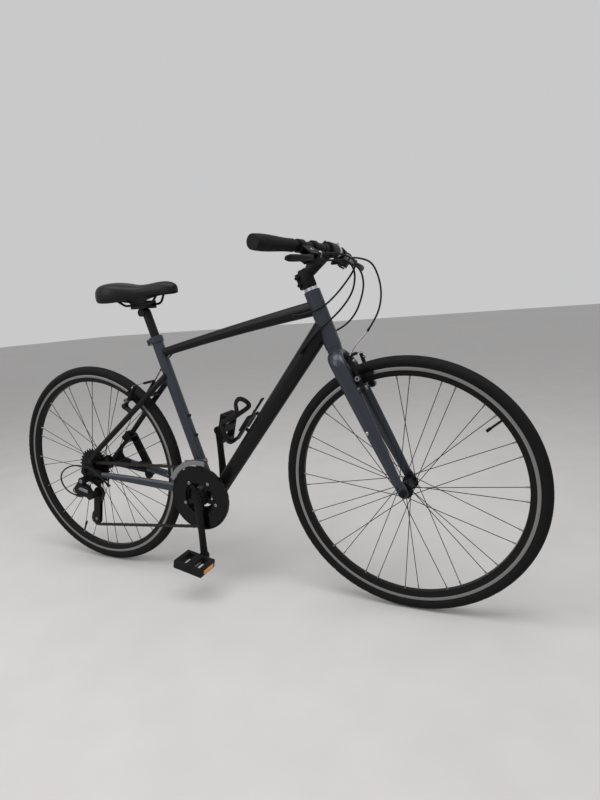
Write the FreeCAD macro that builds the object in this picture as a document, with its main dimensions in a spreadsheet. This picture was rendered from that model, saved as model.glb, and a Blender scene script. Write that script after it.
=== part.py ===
import FreeCAD, Part
import cmath
import math
import os
import Sketcher
from FreeCAD import Vector

# A hybrid bicycle: +X points forward, +Y to the rider's left, +Z up.
# The origin is on the ground, midway between the two axles.

# Driving sizes, in millimetres, degrees and counts
SIZES = {
    # Stance
    "wheelbase": 1064,
    "chainstay_length": 452,
    "bottom_bracket_drop": 61,
    "seat_angle": 73.5,
    "head_angle": 71.1,
    "fork_rake": 50,
    "cut_overrun": 5,
    "running_clearance": 0.05,
    "rest_gap": 0.3,
    # Wheels
    "tyre_section": 32,
    "tyre_wall": 3,
    "rim_radius": 316,
    "tyre_height": 27,
    "rim_width": 23,
    "rim_lip": 2,
    "rim_well_depth": 7,
    "rim_track_depth": 10,
    "rim_depth": 24,
    "rim_inner_width": 13,
    "rim_cavity_wall": 2,
    "spoke_radius": 1,
    "spoke_pairs": 16,
    "spoke_pair_angle": 7,
    "spoke_cross_angle": 60,
    "spoke_bury": 3,
    "spoke_rim_offset": 3,
    "valve_radius": 3,
    "valve_length": 44,
    "valve_cap_radius": 4,
    "valve_cap_length": 12,
    "front_valve_angle": 38,
    "rear_valve_angle": -117,
    # Hubs and axles
    "axle_radius": 5,
    "axle_nut_radius": 9,
    "axle_nut_length": 8,
    "hub_barrel_radius": 14,
    "hub_flange_thickness": 4,
    "front_spacing": 100,
    "front_flange_radius": 21,
    "front_flange_place": 34,
    "rear_spacing": 135,
    "rear_flange_radius": 24,
    "rear_flange_left": 36,
    "rear_flange_right": 19,
    "hub_end_radius": 9,
    "hub_end_gap": 1,
    "hub_stub": 2,
    "fork_end_thickness": 6,
    "dropout_thickness": 6,
    # Head tube and steering bearings
    "head_tube_radius": 22,
    "head_tube_bore": 20,
    "head_tube_length": 157,
    "bearing_height": 9,
    "crown_clearance": 66,
    "steerer_radius": 14.3,
    "steerer_wall": 2.5,
    # Main tubes
    "tube_wall": 1.8,
    "seat_tube_radius": 17.5,
    "seat_tube_length": 508,
    "top_tube_seat_height": 455,
    "top_tube_head_height": 112,
    "top_tube_arch": 4,
    "top_tube_seat_depth": 26,
    "top_tube_seat_width": 24,
    "top_tube_middle_depth": 31,
    "top_tube_middle_width": 29,
    "top_tube_head_depth": 41,
    "top_tube_head_width": 34,
    "down_tube_bottom_fore": 26,
    "down_tube_head_height": 63,
    "down_tube_bottom_depth": 44,
    "down_tube_bottom_width": 42,
    "down_tube_head_depth": 52,
    "down_tube_head_width": 43,
    # Bottom bracket
    "shell_radius": 21,
    "shell_width": 68,
    "shell_bore": 17,
    "cup_flange_radius": 20,
    "cup_flange_width": 3,
    "cup_depth": 16,
    "spindle_radius": 8.5,
    # Stays and dropouts
    "chainstay_front_depth": 30,
    "chainstay_front_width": 15,
    "chainstay_back_depth": 18,
    "chainstay_back_width": 15,
    "chainstay_front_side": 24,
    "chainstay_tyre_side": 33,
    "chainstay_end_reach": 74,
    "chainstay_end_drop": 9,
    "seatstay_depth": 18,
    "seatstay_width": 15,
    "seatstay_top_height": 386,
    "seatstay_top_side": 16,
    "seatstay_tyre_side": 31,
    "seatstay_end_reach": 58,
    "seatstay_end_rise": 66,
    "bridge_radius": 6,
    "bridge_clearance": 22,
    "hanger_drop": 27,
    "hanger_fore": 2,
    "eyelet_radius": 2.5,
    # Seat clamp, seatpost and saddle
    "clamp_height": 18,
    "clamp_wall": 4,
    "clamp_lug": 15,
    "clamp_slit": 2,
    "clamp_bolt_radius": 3,
    "post_radius": 13.6,
    "post_show": 84,
    "post_bury": 136,
    "post_link_radius": 11,
    "post_link_drop": 14,
    "post_head_radius": 12,
    "post_head_width": 34,
    "rail_radius": 3.5,
    "rail_side": 22,
    "rail_setback": 7.2,
    "rail_rise": 19.4,
    "rail_flat_half": 50,
    "rail_tail_reach": 86,
    "rail_nose_reach": 72,
    "rail_tail_rise": 20,
    "rail_nose_rise": 32,
    "rail_nose_side": 15,
    "rail_bend": 26,
    "rail_clamp_length": 56,
    "rail_clamp_width": 52,
    "rail_bolt_radius": 4,
    "rail_bolt_height": 3,
    "rail_clamp_thickness": 8,
    "saddle_tail_reach": 146,
    "saddle_nose_reach": 133.5,
    "saddle_width": 152,
    "saddle_rise": 75,
    "saddle_recess_side": 27,
    "saddle_recess_nose_side": 24,
    "saddle_recess_step": 24,
    "saddle_recess_margin": 7,
    "saddle_skirt_rise": 12,
    "saddle_underside_rise": 37,
    # Fork
    "blade_top_drop": 59,
    "blade_top_fore": 10,
    "blade_top_side": 38,
    "blade_top_depth": 46,
    "blade_top_width": 26,
    "blade_middle_depth": 37,
    "blade_middle_width": 24,
    "blade_end_height": 24,
    "blade_end_fore": 45,
    "blade_end_depth": 24,
    "blade_end_width": 17,
    "crown_arch_depth": 44,
    "crown_arch_width": 27,
    "crown_race_radius": 20.5,
    "crown_race_height": 5,
    "fork_end_width": 24,
    # Stem and handlebar
    "ring_radius": 18.5,
    "ring_height": 8,
    "spacer_radius": 17,
    "spacer_height": 5,
    "stem_clamp_radius": 19,
    "stem_clamp_height": 42,
    "stem_cap_height": 5,
    "stem_cap_radius": 17,
    "stem_bolt_radius": 4,
    "stem_bolt_length": 32,
    "stem_bolt_spread": 20,
    "stem_depth": 36,
    "stem_width": 30,
    "stem_front_depth": 30,
    "stem_root_drop": 9,
    "stem_lug_depth": 9,
    "stem_lug_width": 18,
    "stem_length": 90.5,
    "stem_rise_angle": 36.8,
    "bar_radius": 11.1,
    "bar_clamp_radius": 12.7,
    "bar_clamp_width": 46,
    "bar_clamp_wall": 6,
    "bar_bulge_width": 104,
    "faceplate_gap": 1.5,
    "faceplate_bolt_radius": 2.5,
    "faceplate_lug_radius": 5,
    "faceplate_bolt_spread": 15,
    "faceplate_bolt_rise": 17,
    "faceplate_bolt_depth": 9,
    "bar_half_width": 303,
    "bar_bend_place": 66,
    "bar_bend_radius": 90,
    "bar_sweep_angle": 13,
    "grip_length": 128,
    "grip_inner_radius": 15,
    "grip_waist_radius": 15.4,
    "grip_outer_radius": 17.8,
    "grip_end_radius": 16.5,
    "grip_cap_length": 3,
    # Brake levers and shifters, placed along each side of the handlebar
    "lever_place": 152,
    "lever_tilt_angle": 37,
    "lever_clamp_radius": 15.5,
    "lever_clamp_width": 18,
    "lever_body_start": 12,
    "lever_body_reach": 34,
    "lever_body_length": 40,
    "lever_body_height": 18,
    "lever_pivot_back": 8,
    "lever_pivot_reach": 30,
    "lever_eye_radius": 8.6,
    "lever_slot_gap": 1,
    "lever_slot_length": 60,
    "lever_pivot_radius": 3,
    "lever_slot": 11.4,
    "lever_blade_thickness": 10,
    "lever_blade_width": 17,
    "lever_blade_reach": 60,
    "lever_blade_length": 116,
    "lever_tip_radius": 9.2,
    "barrel_radius": 5,
    "barrel_length": 20,
    "pod_place": 98,
    "pod_length": 38,
    "pod_reach": 30,
    "pod_height": 15,
    "pod_drop": 18,
    "pod_centre_reach": 20,
    "pod_clamp_width": 12,
    "shift_lever_length": 44,
    "shift_lever_width": 16,
    "shift_lever_thickness": 5,
    "shift_lever_gap": 1,
    "shift_eye_radius": 8,
    "shift_pin_radius": 3,
    # Bell
    "bell_place": 42,
    "bell_strap_radius": 16,
    "bell_strap_width": 15,
    "bell_radius": 15,
    "bell_wall": 1.5,
    "bell_drop": 33,
    "bell_stalk_radius": 5,
    # Drivetrain
    "link_pitch": 12.7,
    "link_plate_height": 8,
    "link_plate_thickness": 1,
    "link_inner_width": 3,
    "link_pin_radius": 1.6,
    "roller_radius": 3.8,
    "ring_teeth": 46,
    "middle_ring_teeth": 36,
    "inner_ring_teeth": 26,
    "ring_step": 7.5,
    "ring_thickness": 2.2,
    "ring_bore_radius": 46,
    "middle_ring_bore_radius": 36,
    "inner_ring_bore_radius": 34,
    "ring_bolt_circle": 50,
    "inner_bolt_circle": 41,
    "guard_radius": 99,
    "guard_line": 63,
    "guard_thickness": 3,
    "guard_bore_radius": 52,
    "guard_lip": 1.5,
    "guard_lip_width": 4,
    "spider_arms": 5,
    "spider_width": 15,
    "spider_radius": 60,
    "spider_boss_radius": 25,
    "ring_bolt_radius": 3.5,
    "spider_boss_depth": 20,
    "crank_length": 175,
    "crank_angle": 2,
    "crank_boss_width": 36,
    "crank_eye_width": 27,
    "crank_middle_width": 24,
    "crank_thickness": 15,
    "crank_root_side": 74,
    "crank_eye_side": 82,
    "crank_bolt_radius": 10,
    "crank_bolt_height": 3,
    "cog_step": 4.8,
    "cog_thickness": 2,
    "cog_line": 28,
    "cog_carrier_radius": 17,
    "cassette_gap": 0.5,
    "chain_cog": 6,
    "pulley_teeth": 11,
    "pulley_thickness": 2.4,
    "pulley_pin_radius": 3,
    "pulley_hub_radius": 8,
    "upper_pulley_fore": 29,
    "upper_pulley_drop": 78,
    "lower_pulley_fore": 10,
    "lower_pulley_drop": 171,
    "cage_plate_width": 26,
    "cage_plate_thickness": 2,
    "cage_plate_gap": 11,
    "knuckle_radius": 12,
    "knuckle_length": 24,
    "link_arm_width": 15,
    "link_arm_thickness": 10,
    "link_arm_back": 34,
    "link_arm_drop": 62,
    "front_mech_band_height": 97,
    "front_mech_band_width": 14,
    "front_mech_band_wall": 3,
    "front_mech_cage_gap": 12,
    "front_mech_cage_thickness": 1.6,
    "front_mech_cage_depth": 15,
    "front_mech_cage_clearance": 6,
    "front_mech_cage_start": 75,
    "front_mech_cage_sweep": 75,
    "front_mech_arm_width": 16,
    "front_mech_arm_thickness": 9,
    # Pedals
    "pedal_length": 96,
    "pedal_width": 72,
    "pedal_height": 24,
    "pedal_rail": 13,
    "pedal_end": 10,
    "pedal_barrel_radius": 11,
    "pedal_axle_radius": 6,
    "pedal_gap": 9,
    "right_pedal_tilt_angle": 12,
    "left_pedal_tilt_angle": -75,
    "reflector_width": 46,
    "reflector_height": 11,
    "reflector_thickness": 3,
    # Rim brakes
    "brake_pivot_inset": 32,
    "brake_pivot_side": 41,
    "brake_boss_radius": 8,
    "brake_stud_radius": 5,
    "brake_boss_reach": 26,
    "brake_bolt_radius": 7,
    "brake_bolt_height": 4,
    "brake_eye_radius": 10,
    "brake_arm_length": 86,
    "brake_arm_width": 16,
    "brake_arm_top_width": 12,
    "brake_arm_thickness": 10,
    "brake_arm_splay": 4,
    "pad_gap": 1.9,
    "pad_thickness": 9,
    "pad_length": 62,
    "pad_height": 10,
    "pad_stud_radius": 3,
    "pad_nut_radius": 6,
    "pad_nut_length": 7,
    "noodle_radius": 2.2,
    # Kickstand on the left stays
    "kick_bracket_width": 30,
    "kick_bracket_thickness": 8,
    "kick_clamp_length": 34,
    "kick_clamp_wall": 5,
    "kick_leg_radius": 8,
    "kick_leg_length": 284,
    "kick_foot_radius": 11,
    "kick_foot_length": 26,
    "kick_pivot_radius": 5,
    "kick_pivot_gap": 1,
    "kick_side": 84,
    "kick_leg_side": 101,
    "kick_boss_radius": 9,
    "kick_eye_radius": 12,
    "kick_eye_thickness": 14,
    "kick_splay_angle": 14,
    "kick_lean_angle": 3,
    "kick_pivot_fore": 130,
    "kick_pivot_drop": 51,
    "kick_fold_angle": 7,
    "kick_top_place": 33,
    "kick_low_place": 58,
    "kick_cap_radius": 8,
    "kick_cap_height": 3,
    # Bottle cage on the down tube
    "cage_place": 266,
    "cage_length": 140,
    "cage_width": 26,
    "cage_thickness": 5,
    "cage_standoff": 8,
    "cage_boss_spread": 64,
    "cage_boss_radius": 5,
    "cage_bolt_radius": 4,
    "cage_bolt_height": 4,
    "bottle_radius": 37,
    "bottle_gap": 1,
    "hoop_radius": 4,
    "shelf_length": 46,
    "shelf_width": 44,
    "seat_boss_low": 182,
    "boss_bolt_height": 4,
    # Cables
    "housing_radius": 2.5,
    "bare_cable_radius": 1,
    "bare_cable_tail": 6,
    "boot_radius": 4,
    "stop_radius": 4.5,
    "stop_length": 14,
}

# Shares of the sizes that they follow
CORD_BEND_SHARE = 0.45
SADDLE_FOOT_SHARE = 0.86
SADDLE_EDGE_SHARE = 0.9
SADDLE_SHARES = [
    # place along the length from the tail, half width, rise of the top, drop of the side, depth of the skirt
    (0.00, 0.40, 0.50, 0.30, 0.40),
    (0.07, 0.78, 0.92, 0.26, 0.84),
    (0.22, 1.00, 1.02, 0.28, 1.00),
    (0.42, 0.76, 0.76, 0.26, 0.94),
    (0.58, 0.49, 0.58, 0.26, 0.64),
    (0.78, 0.36, 0.68, 0.26, 0.40),
    (0.94, 0.28, 0.54, 0.24, 0.20),
    (1.00, 0.14, 0.34, 0.20, 0.10),
]
# Outlines of the dropouts, in reaches of the chainstay's end and rises of the seatstay's end
DROPOUT_HEEL_SHARES = [(-0.19, -0.09), (-0.135, -0.24)]
HANGER_SHARES = [(-0.12, -0.41), (-0.055, -0.57), (0.09, -0.57), (0.17, -0.41), (0.22, -0.26)]
PLAIN_FOOT_SHARES = [(0.0, -0.30)]
DROPOUT_WEB_SHARES = [
    (1.13, -0.25),
    (1.13, -0.06),
    (0.54, 0.15),
    (0.45, 0.36),
    (0.51, 0.61),
    (0.946, 1.024),
    (0.824, 1.173),
    (0.135, 0.485),
    (-0.19, 0.12),
]
EYELET_SHARES = (0.30, 0.09)
# Outline of a fork end, in widths of the end and heights of the blade's end
FORK_END_SHARES = [
    (-0.67, 1.2),
    (0.29, 1.2),
    (0.54, 0.33),
    (0.54, -0.25),
    (0.25, -0.54),
    (-0.25, -0.54),
    (-0.54, -0.17),
]
FORK_EYELET_SHARES = (-0.33, 0.58)
GRIP_SHARES = (0.0, 0.30, 0.85, 1.0)
LEVER_SHARES = [(0.0, 0.0), (0.22, 0.67), (0.61, 0.93), (1.0, 1.0)]
TOOTH_TIP_SHARE = 0.5
TOOTH_SHARES = (-0.30, -0.12, 0.12, 0.30)
CAGE_WIRE_SHARE = 0.75
BOOT_SHARE = 0.6

# Counts
CROWN_SECTIONS = 7
COG_TEETH = [32, 28, 24, 21, 18, 15, 13, 11]

doc = FreeCAD.newDocument("hybrid_bike")
sheet = doc.addObject("Spreadsheet::Sheet", "sizes")
for row, (alias, value) in enumerate(SIZES.items(), 1):
    sheet.set(f"A{row}", alias)
    sheet.set(f"B{row}", str(value))
    sheet.setAlias(f"B{row}", alias)
doc.recompute()

X = Vector(1, 0, 0)
Y = Vector(0, 1, 0)
Z = Vector(0, 0, 1)
SIDES = {"right": -1, "left": 1}
nodes = {}


# Sizes that carry their expression
class Size:
    """A number together with the sheet expression that gives it."""

    def __init__(self, value, text):
        self.value = float(value)
        self.text = text

    def __float__(self):
        return self.value

    def __add__(self, other):
        return Size(self.value + float(other), f"({self.text} + {text_of(other)})")

    def __sub__(self, other):
        return Size(self.value - float(other), f"({self.text} - {text_of(other)})")

    def __mul__(self, other):
        return Size(self.value * float(other), f"({self.text} * {text_of(other)})")

    def __truediv__(self, other):
        return Size(self.value / float(other), f"({self.text} / {text_of(other)})")

    def __neg__(self):
        return Size(-self.value, f"(-{self.text})")

    def __radd__(self, other):
        return self + other

    def __rmul__(self, other):
        return self * other


def text_of(item):
    return item.text if isinstance(item, Size) else repr(float(item))


class Sheet:
    """Reads a named size from the sheet."""

    def __getattr__(self, alias):
        return Size(sheet.get(alias), f"sizes.{alias}")


s = Sheet()


# Placing and binding
def unit(way):
    return Vector(way) / way.Length


def facing(point, way, across=None):
    """A placement at point whose local Z runs along way and whose local X lies near across."""
    along = unit(way)
    if across is None:
        across = Y if abs(along.dot(Y)) < abs(along.dot(X)) + abs(along.dot(Z)) else X
    side = unit(along.cross(Vector(across)))
    return FreeCAD.Placement(Vector(point), FreeCAD.Rotation(side.cross(along), side, along, "ZXY"))


def bind(item, name, size):
    setattr(item, name, float(size))
    if isinstance(size, Size):
        item.setExpression(name, size.text)


def node(label, item):
    item.Label = label
    nodes[label] = item
    return item


# Simple solids
def rod(name, radius, start, end):
    item = doc.addObject("Part::Cylinder", name)
    bind(item, "Radius", radius)
    item.Height = (end - start).Length
    item.Placement = facing(start, end - start)
    return item


def disc(name, radius, thickness, centre, way):
    """A cylinder of a bound thickness, centred on a point."""
    item = doc.addObject("Part::Cylinder", name)
    bind(item, "Radius", radius)
    bind(item, "Height", thickness)
    item.Placement = facing(centre - unit(way) * (float(thickness) / 2), way)
    return item


def block(name, length, width, height, centre, way, across):
    """A box centred on a point, with its height along way and its length along across."""
    item = doc.addObject("Part::Box", name)
    bind(item, "Length", length)
    bind(item, "Width", width)
    bind(item, "Height", height)
    place = facing(centre, way, across)
    half = Vector(float(length), float(width), float(height)) / 2
    place.Base = place.Base - place.Rotation.multVec(half)
    item.Placement = place
    return item


def ball(name, radius, centre):
    item = doc.addObject("Part::Sphere", name)
    bind(item, "Radius", radius)
    item.Placement = FreeCAD.Placement(centre, FreeCAD.Rotation())
    return item


def cut(base, *tools):
    for tool in tools:
        item = doc.addObject("Part::Cut", base.Name + "_cut")
        item.Base = base
        item.Tool = tool
        base = item
    return base


def fuse(*items):
    item = doc.addObject("Part::MultiFuse", items[0].Name + "_fused")
    item.Shapes = list(items)
    return item


def group(name, *items):
    item = doc.addObject("Part::Compound", name)
    item.Links = list(items)
    return item


def longer(start, end):
    """The same line, run past both ends by the cut's overrun."""
    extra = unit(end - start) * float(s.cut_overrun)
    return start - extra, end + extra


def sleeve(name, outer, inner, start, end):
    return cut(rod(name, outer, start, end), rod(name + "_bore", inner, *longer(start, end)))


# Lofted tubes
def loft(name, sections):
    """A loft through ellipses: each is a centre, a way, the depth's way, a depth and a width."""
    rings = []
    for centre, way, deep, depth, width in sections:
        ring = doc.addObject("Part::Ellipse", name + "_section")
        bind(ring, "MajorRadius", depth / 2)
        bind(ring, "MinorRadius", width / 2)
        ring.Placement = facing(centre, way, deep)
        rings.append(ring)
    item = doc.addObject("Part::Loft", name)
    item.Sections = rings
    item.Solid = True
    item.Ruled = len(rings) == 2
    return item


def hollow(name, sections, wall):
    inner = [(c, w, d, depth - wall * 2, width - wall * 2) for c, w, d, depth, width in sections]
    return cut(loft(name, sections), loft(name + "_inside", inner))


# Pipes along straight runs and tangent arcs
def rounded(points, bend=None):
    """A wire through points, its corners rounded by one radius or, for a cord, as far as its runs allow."""
    edges = []
    radii = []
    start = points[0]
    for before, corner, after in zip(points, points[1:], points[2:]):
        into = unit(corner - before)
        out = unit(after - corner)
        half_turn = into.getAngle(out) / 2
        reach = CORD_BEND_SHARE * min((corner - before).Length, (after - corner).Length)
        if bend is not None:
            reach = float(bend) * math.tan(half_turn)
        radius = reach / math.tan(half_turn)
        inward = unit(out - into)
        middle = corner + inward * (radius / math.cos(half_turn) - radius)
        first = corner - into * reach
        last = corner + out * reach
        edges.append(Part.LineSegment(start, first).toShape())
        edges.append(Part.Arc(first, middle, last).toShape())
        radii.append(round(radius, 1))
        start = last
    edges.append(Part.LineSegment(start, points[-1]).toShape())
    return Part.Wire(edges), radii


def pipe(name, radius, points, bend=None):
    wire, radii = rounded(points, bend)
    route = doc.addObject("Part::Feature", name + "_route")
    route.Shape = wire
    ring = doc.addObject("Part::Circle", name + "_ring")
    bind(ring, "Radius", radius)
    ring.Placement = facing(points[0], points[1] - points[0])
    item = doc.addObject("Part::Sweep", name)
    item.Sections = [ring]
    item.Spine = (route, [f"Edge{n + 1}" for n in range(len(wire.Edges))])
    item.Solid = True
    item.Frenet = False
    return item


# Sketched bodies
def sketch_in(body, name, role):
    sketch = body.newObject("Sketcher::SketchObject", name)
    plane = [feature for feature in body.Origin.OriginFeatures if feature.Role == role][0]
    sketch.AttachmentSupport = (plane, [""])
    sketch.MapMode = "FlatFace"
    return sketch


def bound_rule(sketch, kind, geometry, size):
    """Ties a point's distance from the sketch's origin to a size; zero ties it to the axis."""
    if float(size) == 0:
        axis = -2 if kind == "DistanceX" else -1
        sketch.addConstraint(Sketcher.Constraint("PointOnObject", *geometry, axis))
        return
    number = sketch.addConstraint(Sketcher.Constraint(kind, -1, 1, *geometry, float(size)))
    if isinstance(size, Size):
        sketch.setExpression(f"Constraints[{number}]", size.text)


def outline(sketch, points):
    """A closed outline of straight lines whose corners are bound to sizes."""
    first = sketch.GeometryCount
    count = len(points)
    corners = [Vector(float(x), float(y), 0) for x, y in points]
    sketch.addGeometry([Part.LineSegment(a, b) for a, b in zip(corners, corners[1:] + corners[:1])], False)
    for n in range(count):
        sketch.addConstraint(Sketcher.Constraint("Coincident", first + n, 2, first + (n + 1) % count, 1))
    for n, (x, y) in enumerate(points):
        bound_rule(sketch, "DistanceX", (first + n, 1), x)
        bound_rule(sketch, "DistanceY", (first + n, 1), y)


def circle(sketch, x, y, radius):
    first = sketch.GeometryCount
    sketch.addGeometry(Part.Circle(Vector(float(x), float(y), 0), Z, float(radius)), False)
    bound_rule(sketch, "DistanceX", (first, 3), x)
    bound_rule(sketch, "DistanceY", (first, 3), y)
    number = sketch.addConstraint(Sketcher.Constraint("Radius", first, float(radius)))
    if isinstance(radius, Size):
        sketch.setExpression(f"Constraints[{number}]", radius.text)


def turned(name, outlines, place):
    """A body turned about its own Z axis from outlines of radius and height."""
    body = doc.addObject("PartDesign::Body", name)
    sketch = sketch_in(body, name + "_profile", "XZ_Plane")
    for points in outlines:
        outline(sketch, points)
    turn = body.newObject("PartDesign::Revolution", name + "_turn")
    turn.Profile = sketch
    turn.ReferenceAxis = (sketch, ["V_Axis"])
    turn.Angle = 360
    sketch.Visibility = False
    body.Placement = place
    return body


def plate(name, outlines, holes, thickness, place):
    """A body padded both ways from its own XY plane."""
    body = doc.addObject("PartDesign::Body", name)
    sketch = sketch_in(body, name + "_outline", "XY_Plane")
    for points in outlines:
        outline(sketch, points)
    for x, y, radius in holes:
        circle(sketch, x, y, radius)
    pad = body.newObject("PartDesign::Pad", name + "_pad")
    pad.Profile = sketch
    pad.SideType = "Symmetric"
    bind(pad, "Length", thickness)
    body.Placement = place
    return body


# Main places of the bicycle
def degrees(size):
    return math.radians(float(size))


half_base = s.wheelbase / 2
tyre_radius = s.rim_radius + s.tyre_height
crown_height = tyre_radius + s.crown_clearance
blade_top_height = crown_height - s.blade_top_drop
brake_pivot_radius = s.rim_radius - s.brake_pivot_inset
rear_axle = Vector(-float(half_base), 0, float(tyre_radius))
front_axle = Vector(float(half_base), 0, float(tyre_radius))
bracket = rear_axle + Vector(
    math.sqrt(float(s.chainstay_length) ** 2 - float(s.bottom_bracket_drop) ** 2),
    0,
    -float(s.bottom_bracket_drop),
)
steer_up = Vector(-math.cos(degrees(s.head_angle)), 0, math.sin(degrees(s.head_angle)))
steer_fore = Vector(math.sin(degrees(s.head_angle)), 0, math.cos(degrees(s.head_angle)))
steer_foot = front_axle - steer_fore * float(s.fork_rake)
seat_up = Vector(-math.cos(degrees(s.seat_angle)), 0, math.sin(degrees(s.seat_angle)))
seat_fore = Vector(math.sin(degrees(s.seat_angle)), 0, math.cos(degrees(s.seat_angle)))


def steer(up, fore=0, side=0):
    return steer_foot + steer_up * float(up) + steer_fore * float(fore) + Y * float(side)


def seat(up, fore=0, side=0):
    return bracket + seat_up * float(up) + seat_fore * float(fore) + Y * float(side)


head_top = crown_height + s.head_tube_length
stem_bottom = head_top + s.rest_gap + s.ring_height + s.spacer_height
stem_top = stem_bottom + s.stem_clamp_height
stem_way = Vector(math.cos(degrees(s.stem_rise_angle)), 0, math.sin(degrees(s.stem_rise_angle)))
bar_centre = steer(stem_top - s.stem_root_drop) + stem_way * float(s.stem_length)
fork_end_side = s.front_spacing / 2 + s.fork_end_thickness / 2
cord_checks = []


# Cable routes, each from its lever or stop to its end
def steered(rows):
    """Places told as rises above the crown along the steering axis, reaches forward of it, and sides."""
    return [steer(crown_height + rise, reach, side) for rise, reach, side in rows]


def behind(rows):
    """Places told from the rear axle: forward, to the left and up."""
    return [rear_axle + Vector(*row) for row in rows]


REAR_BRAKE_FRONT = steered(
    [
        (209.2, 93.6, -108),
        (208.5, 105.0, -72),
        (199.8, 124.2, -36),
        (179.1, 135.1, 20),
        (161.0, 110.9, 36),
        (134.8, 63.9, 36),
        (116.0, 38.4, 6),
        (103.6, 19.4, -26),
        (105.1, -19.2, -30),
        (113.3, -55.5, -22),
    ]
)
RIGHT_SHIFT = steered(
    [
        (200.8, 78.0, -70),
        (198.8, 90.0, -44),
        (192.0, 109.9, -21),
        (182.4, 122.5, -8),
        (165.6, 125.2, 4),
        (143.5, 118.7, 12),
        (112.7, 97.6, 16),
        (88.0, 64.8, 6),
        (69.3, 33.0, -17),
        (57.8, 1.6, -30),
        (45.2, -35.5, -28),
        (25.2, -73.0, -26.5),
    ]
)
LEFT_SHIFT = steered(
    [
        (199.8, 80.9, 68),
        (195.9, 92.2, 52),
        (186.3, 111.1, 46),
        (171.0, 124.9, 46),
        (148.5, 128.8, 48),
        (118.5, 120.7, 50),
        (88.3, 100.8, 46),
        (61.7, 76.9, 41),
        (44.2, 44.5, 36),
        (38.8, 10.9, 30),
        (36.5, -19.4, 27),
    ]
)
SHIFT_ROUTES = {"right": RIGHT_SHIFT, "left": LEFT_SHIFT}
FRONT_BRAKE = steered(
    [
        (209.2, 93.6, 108),
        (207.6, 101.5, 78),
        (195.3, 128.0, 66),
        (171.4, 157.8, 66),
        (133.7, 162.9, 64),
        (90.7, 158.7, 54),
        (55.1, 145.5, 40),
        (26.2, 125.0, 22),
        (4.6, 98.6, 6),
    ]
)
FRONT_NOODLE = steered(
    [
        (4.6, 98.6, 6),
        (-7.3, 80.8, -14),
        (-19.5, 63.9, -33),
    ]
)
REAR_LOOP = behind(
    [
        (94, -77, -35),
        (52, -82, 9),
        (-2, -82, 23),
        (-58, -81, 18),
        (-103, -79, -7),
        (-113, -79, -36),
        (-100, -79, -64),
        (-72, -78, -84),
        (-51, -76, -87),
    ]
)
REAR_BRAKE_BACK = behind(
    [
        (382, 17, 395),
        (344, 21, 373),
        (312, 24, 347),
        (286, 26, 320),
    ]
)
REAR_NOODLE = behind(
    [
        (286, 26, 320),
        (260, 33, 297),
    ]
)


# Front triangle of the frame
def head_tube_solid(radius):
    return rod("head_tube_solid", radius, steer(crown_height), steer(head_top))


def whole_seat_tube():
    return rod("seat_tube_solid", s.seat_tube_radius, seat(0), seat(s.seat_tube_length))


def shell_solid(radius):
    return disc("shell_solid", radius, s.shell_width, bracket, Y)


def head_tube():
    bore = rod("head_tube_bore_solid", s.head_tube_bore, *longer(steer(crown_height), steer(head_top)))
    node("head_tube", cut(head_tube_solid(s.head_tube_radius), bore))
    lower = sleeve(
        "lower_bearing",
        s.head_tube_bore,
        s.steerer_radius + s.running_clearance,
        steer(crown_height + s.rest_gap),
        steer(crown_height + s.bearing_height),
    )
    upper = sleeve(
        "upper_bearing",
        s.head_tube_bore,
        s.steerer_radius + s.running_clearance,
        steer(head_top - s.bearing_height),
        steer(head_top),
    )
    node("headset_bearings", group("headset_bearing_pair", lower, upper))


def top_tube_sections():
    back = seat(s.top_tube_seat_height)
    front = steer(crown_height + s.top_tube_head_height)
    way = unit(front - back)
    lift = Y.cross(way) * -1
    middle = (back + front) / 2 + lift * float(s.top_tube_arch)
    return [
        (back, way, lift, s.top_tube_seat_depth, s.top_tube_seat_width),
        (middle, way, lift, s.top_tube_middle_depth, s.top_tube_middle_width),
        (front, way, lift, s.top_tube_head_depth, s.top_tube_head_width),
    ]


def top_tube_solid():
    return loft("top_tube_solid", top_tube_sections())


def top_tube():
    tube = hollow("top_tube_loft", top_tube_sections(), s.tube_wall)
    node("top_tube", cut(tube, head_tube_solid(s.head_tube_radius), whole_seat_tube()))


down_start = bracket + X * float(s.down_tube_bottom_fore)
down_end = steer(crown_height + s.down_tube_head_height)
down_way = unit(down_end - down_start)
down_lift = Y.cross(down_way) * -1


def down_tube_sections():
    return [
        (down_start, down_way, down_lift, s.down_tube_bottom_depth, s.down_tube_bottom_width),
        (down_end, down_way, down_lift, s.down_tube_head_depth, s.down_tube_head_width),
    ]


def down_tube_solid():
    return loft("down_tube_solid", down_tube_sections())


def down_tube():
    tube = hollow("down_tube_loft", down_tube_sections(), s.tube_wall)
    tube = cut(tube, head_tube_solid(s.head_tube_radius), shell_solid(s.shell_radius), whole_seat_tube())
    node("down_tube", tube)


def seat_tube():
    bore_radius = s.post_radius + s.running_clearance
    bore = rod("seat_tube_bore", bore_radius, *longer(seat(0), seat(s.seat_tube_length)))
    node("seat_tube", cut(whole_seat_tube(), bore, shell_solid(s.shell_radius)))


def bottom_bracket():
    bore = disc("shell_bore_solid", s.shell_bore, s.shell_width + s.cut_overrun * 2, bracket, Y)
    node("bottom_bracket_shell", cut(shell_solid(s.shell_radius), bore))
    cups = []
    for name, side in SIDES.items():
        face = bracket + Y * (side * float(s.shell_width) / 2)
        inner = s.spindle_radius + s.running_clearance
        profile = [
            (inner, -s.cup_depth),
            (s.shell_bore, -s.cup_depth),
            (s.shell_bore, 0),
            (s.cup_flange_radius, 0),
            (s.cup_flange_radius, s.cup_flange_width),
            (inner, s.cup_flange_width),
        ]
        cups.append(turned(f"{name}_cup", [profile], facing(face, Y * side)))
    node("bottom_bracket_cups", group("cup_pair", *cups))


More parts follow.
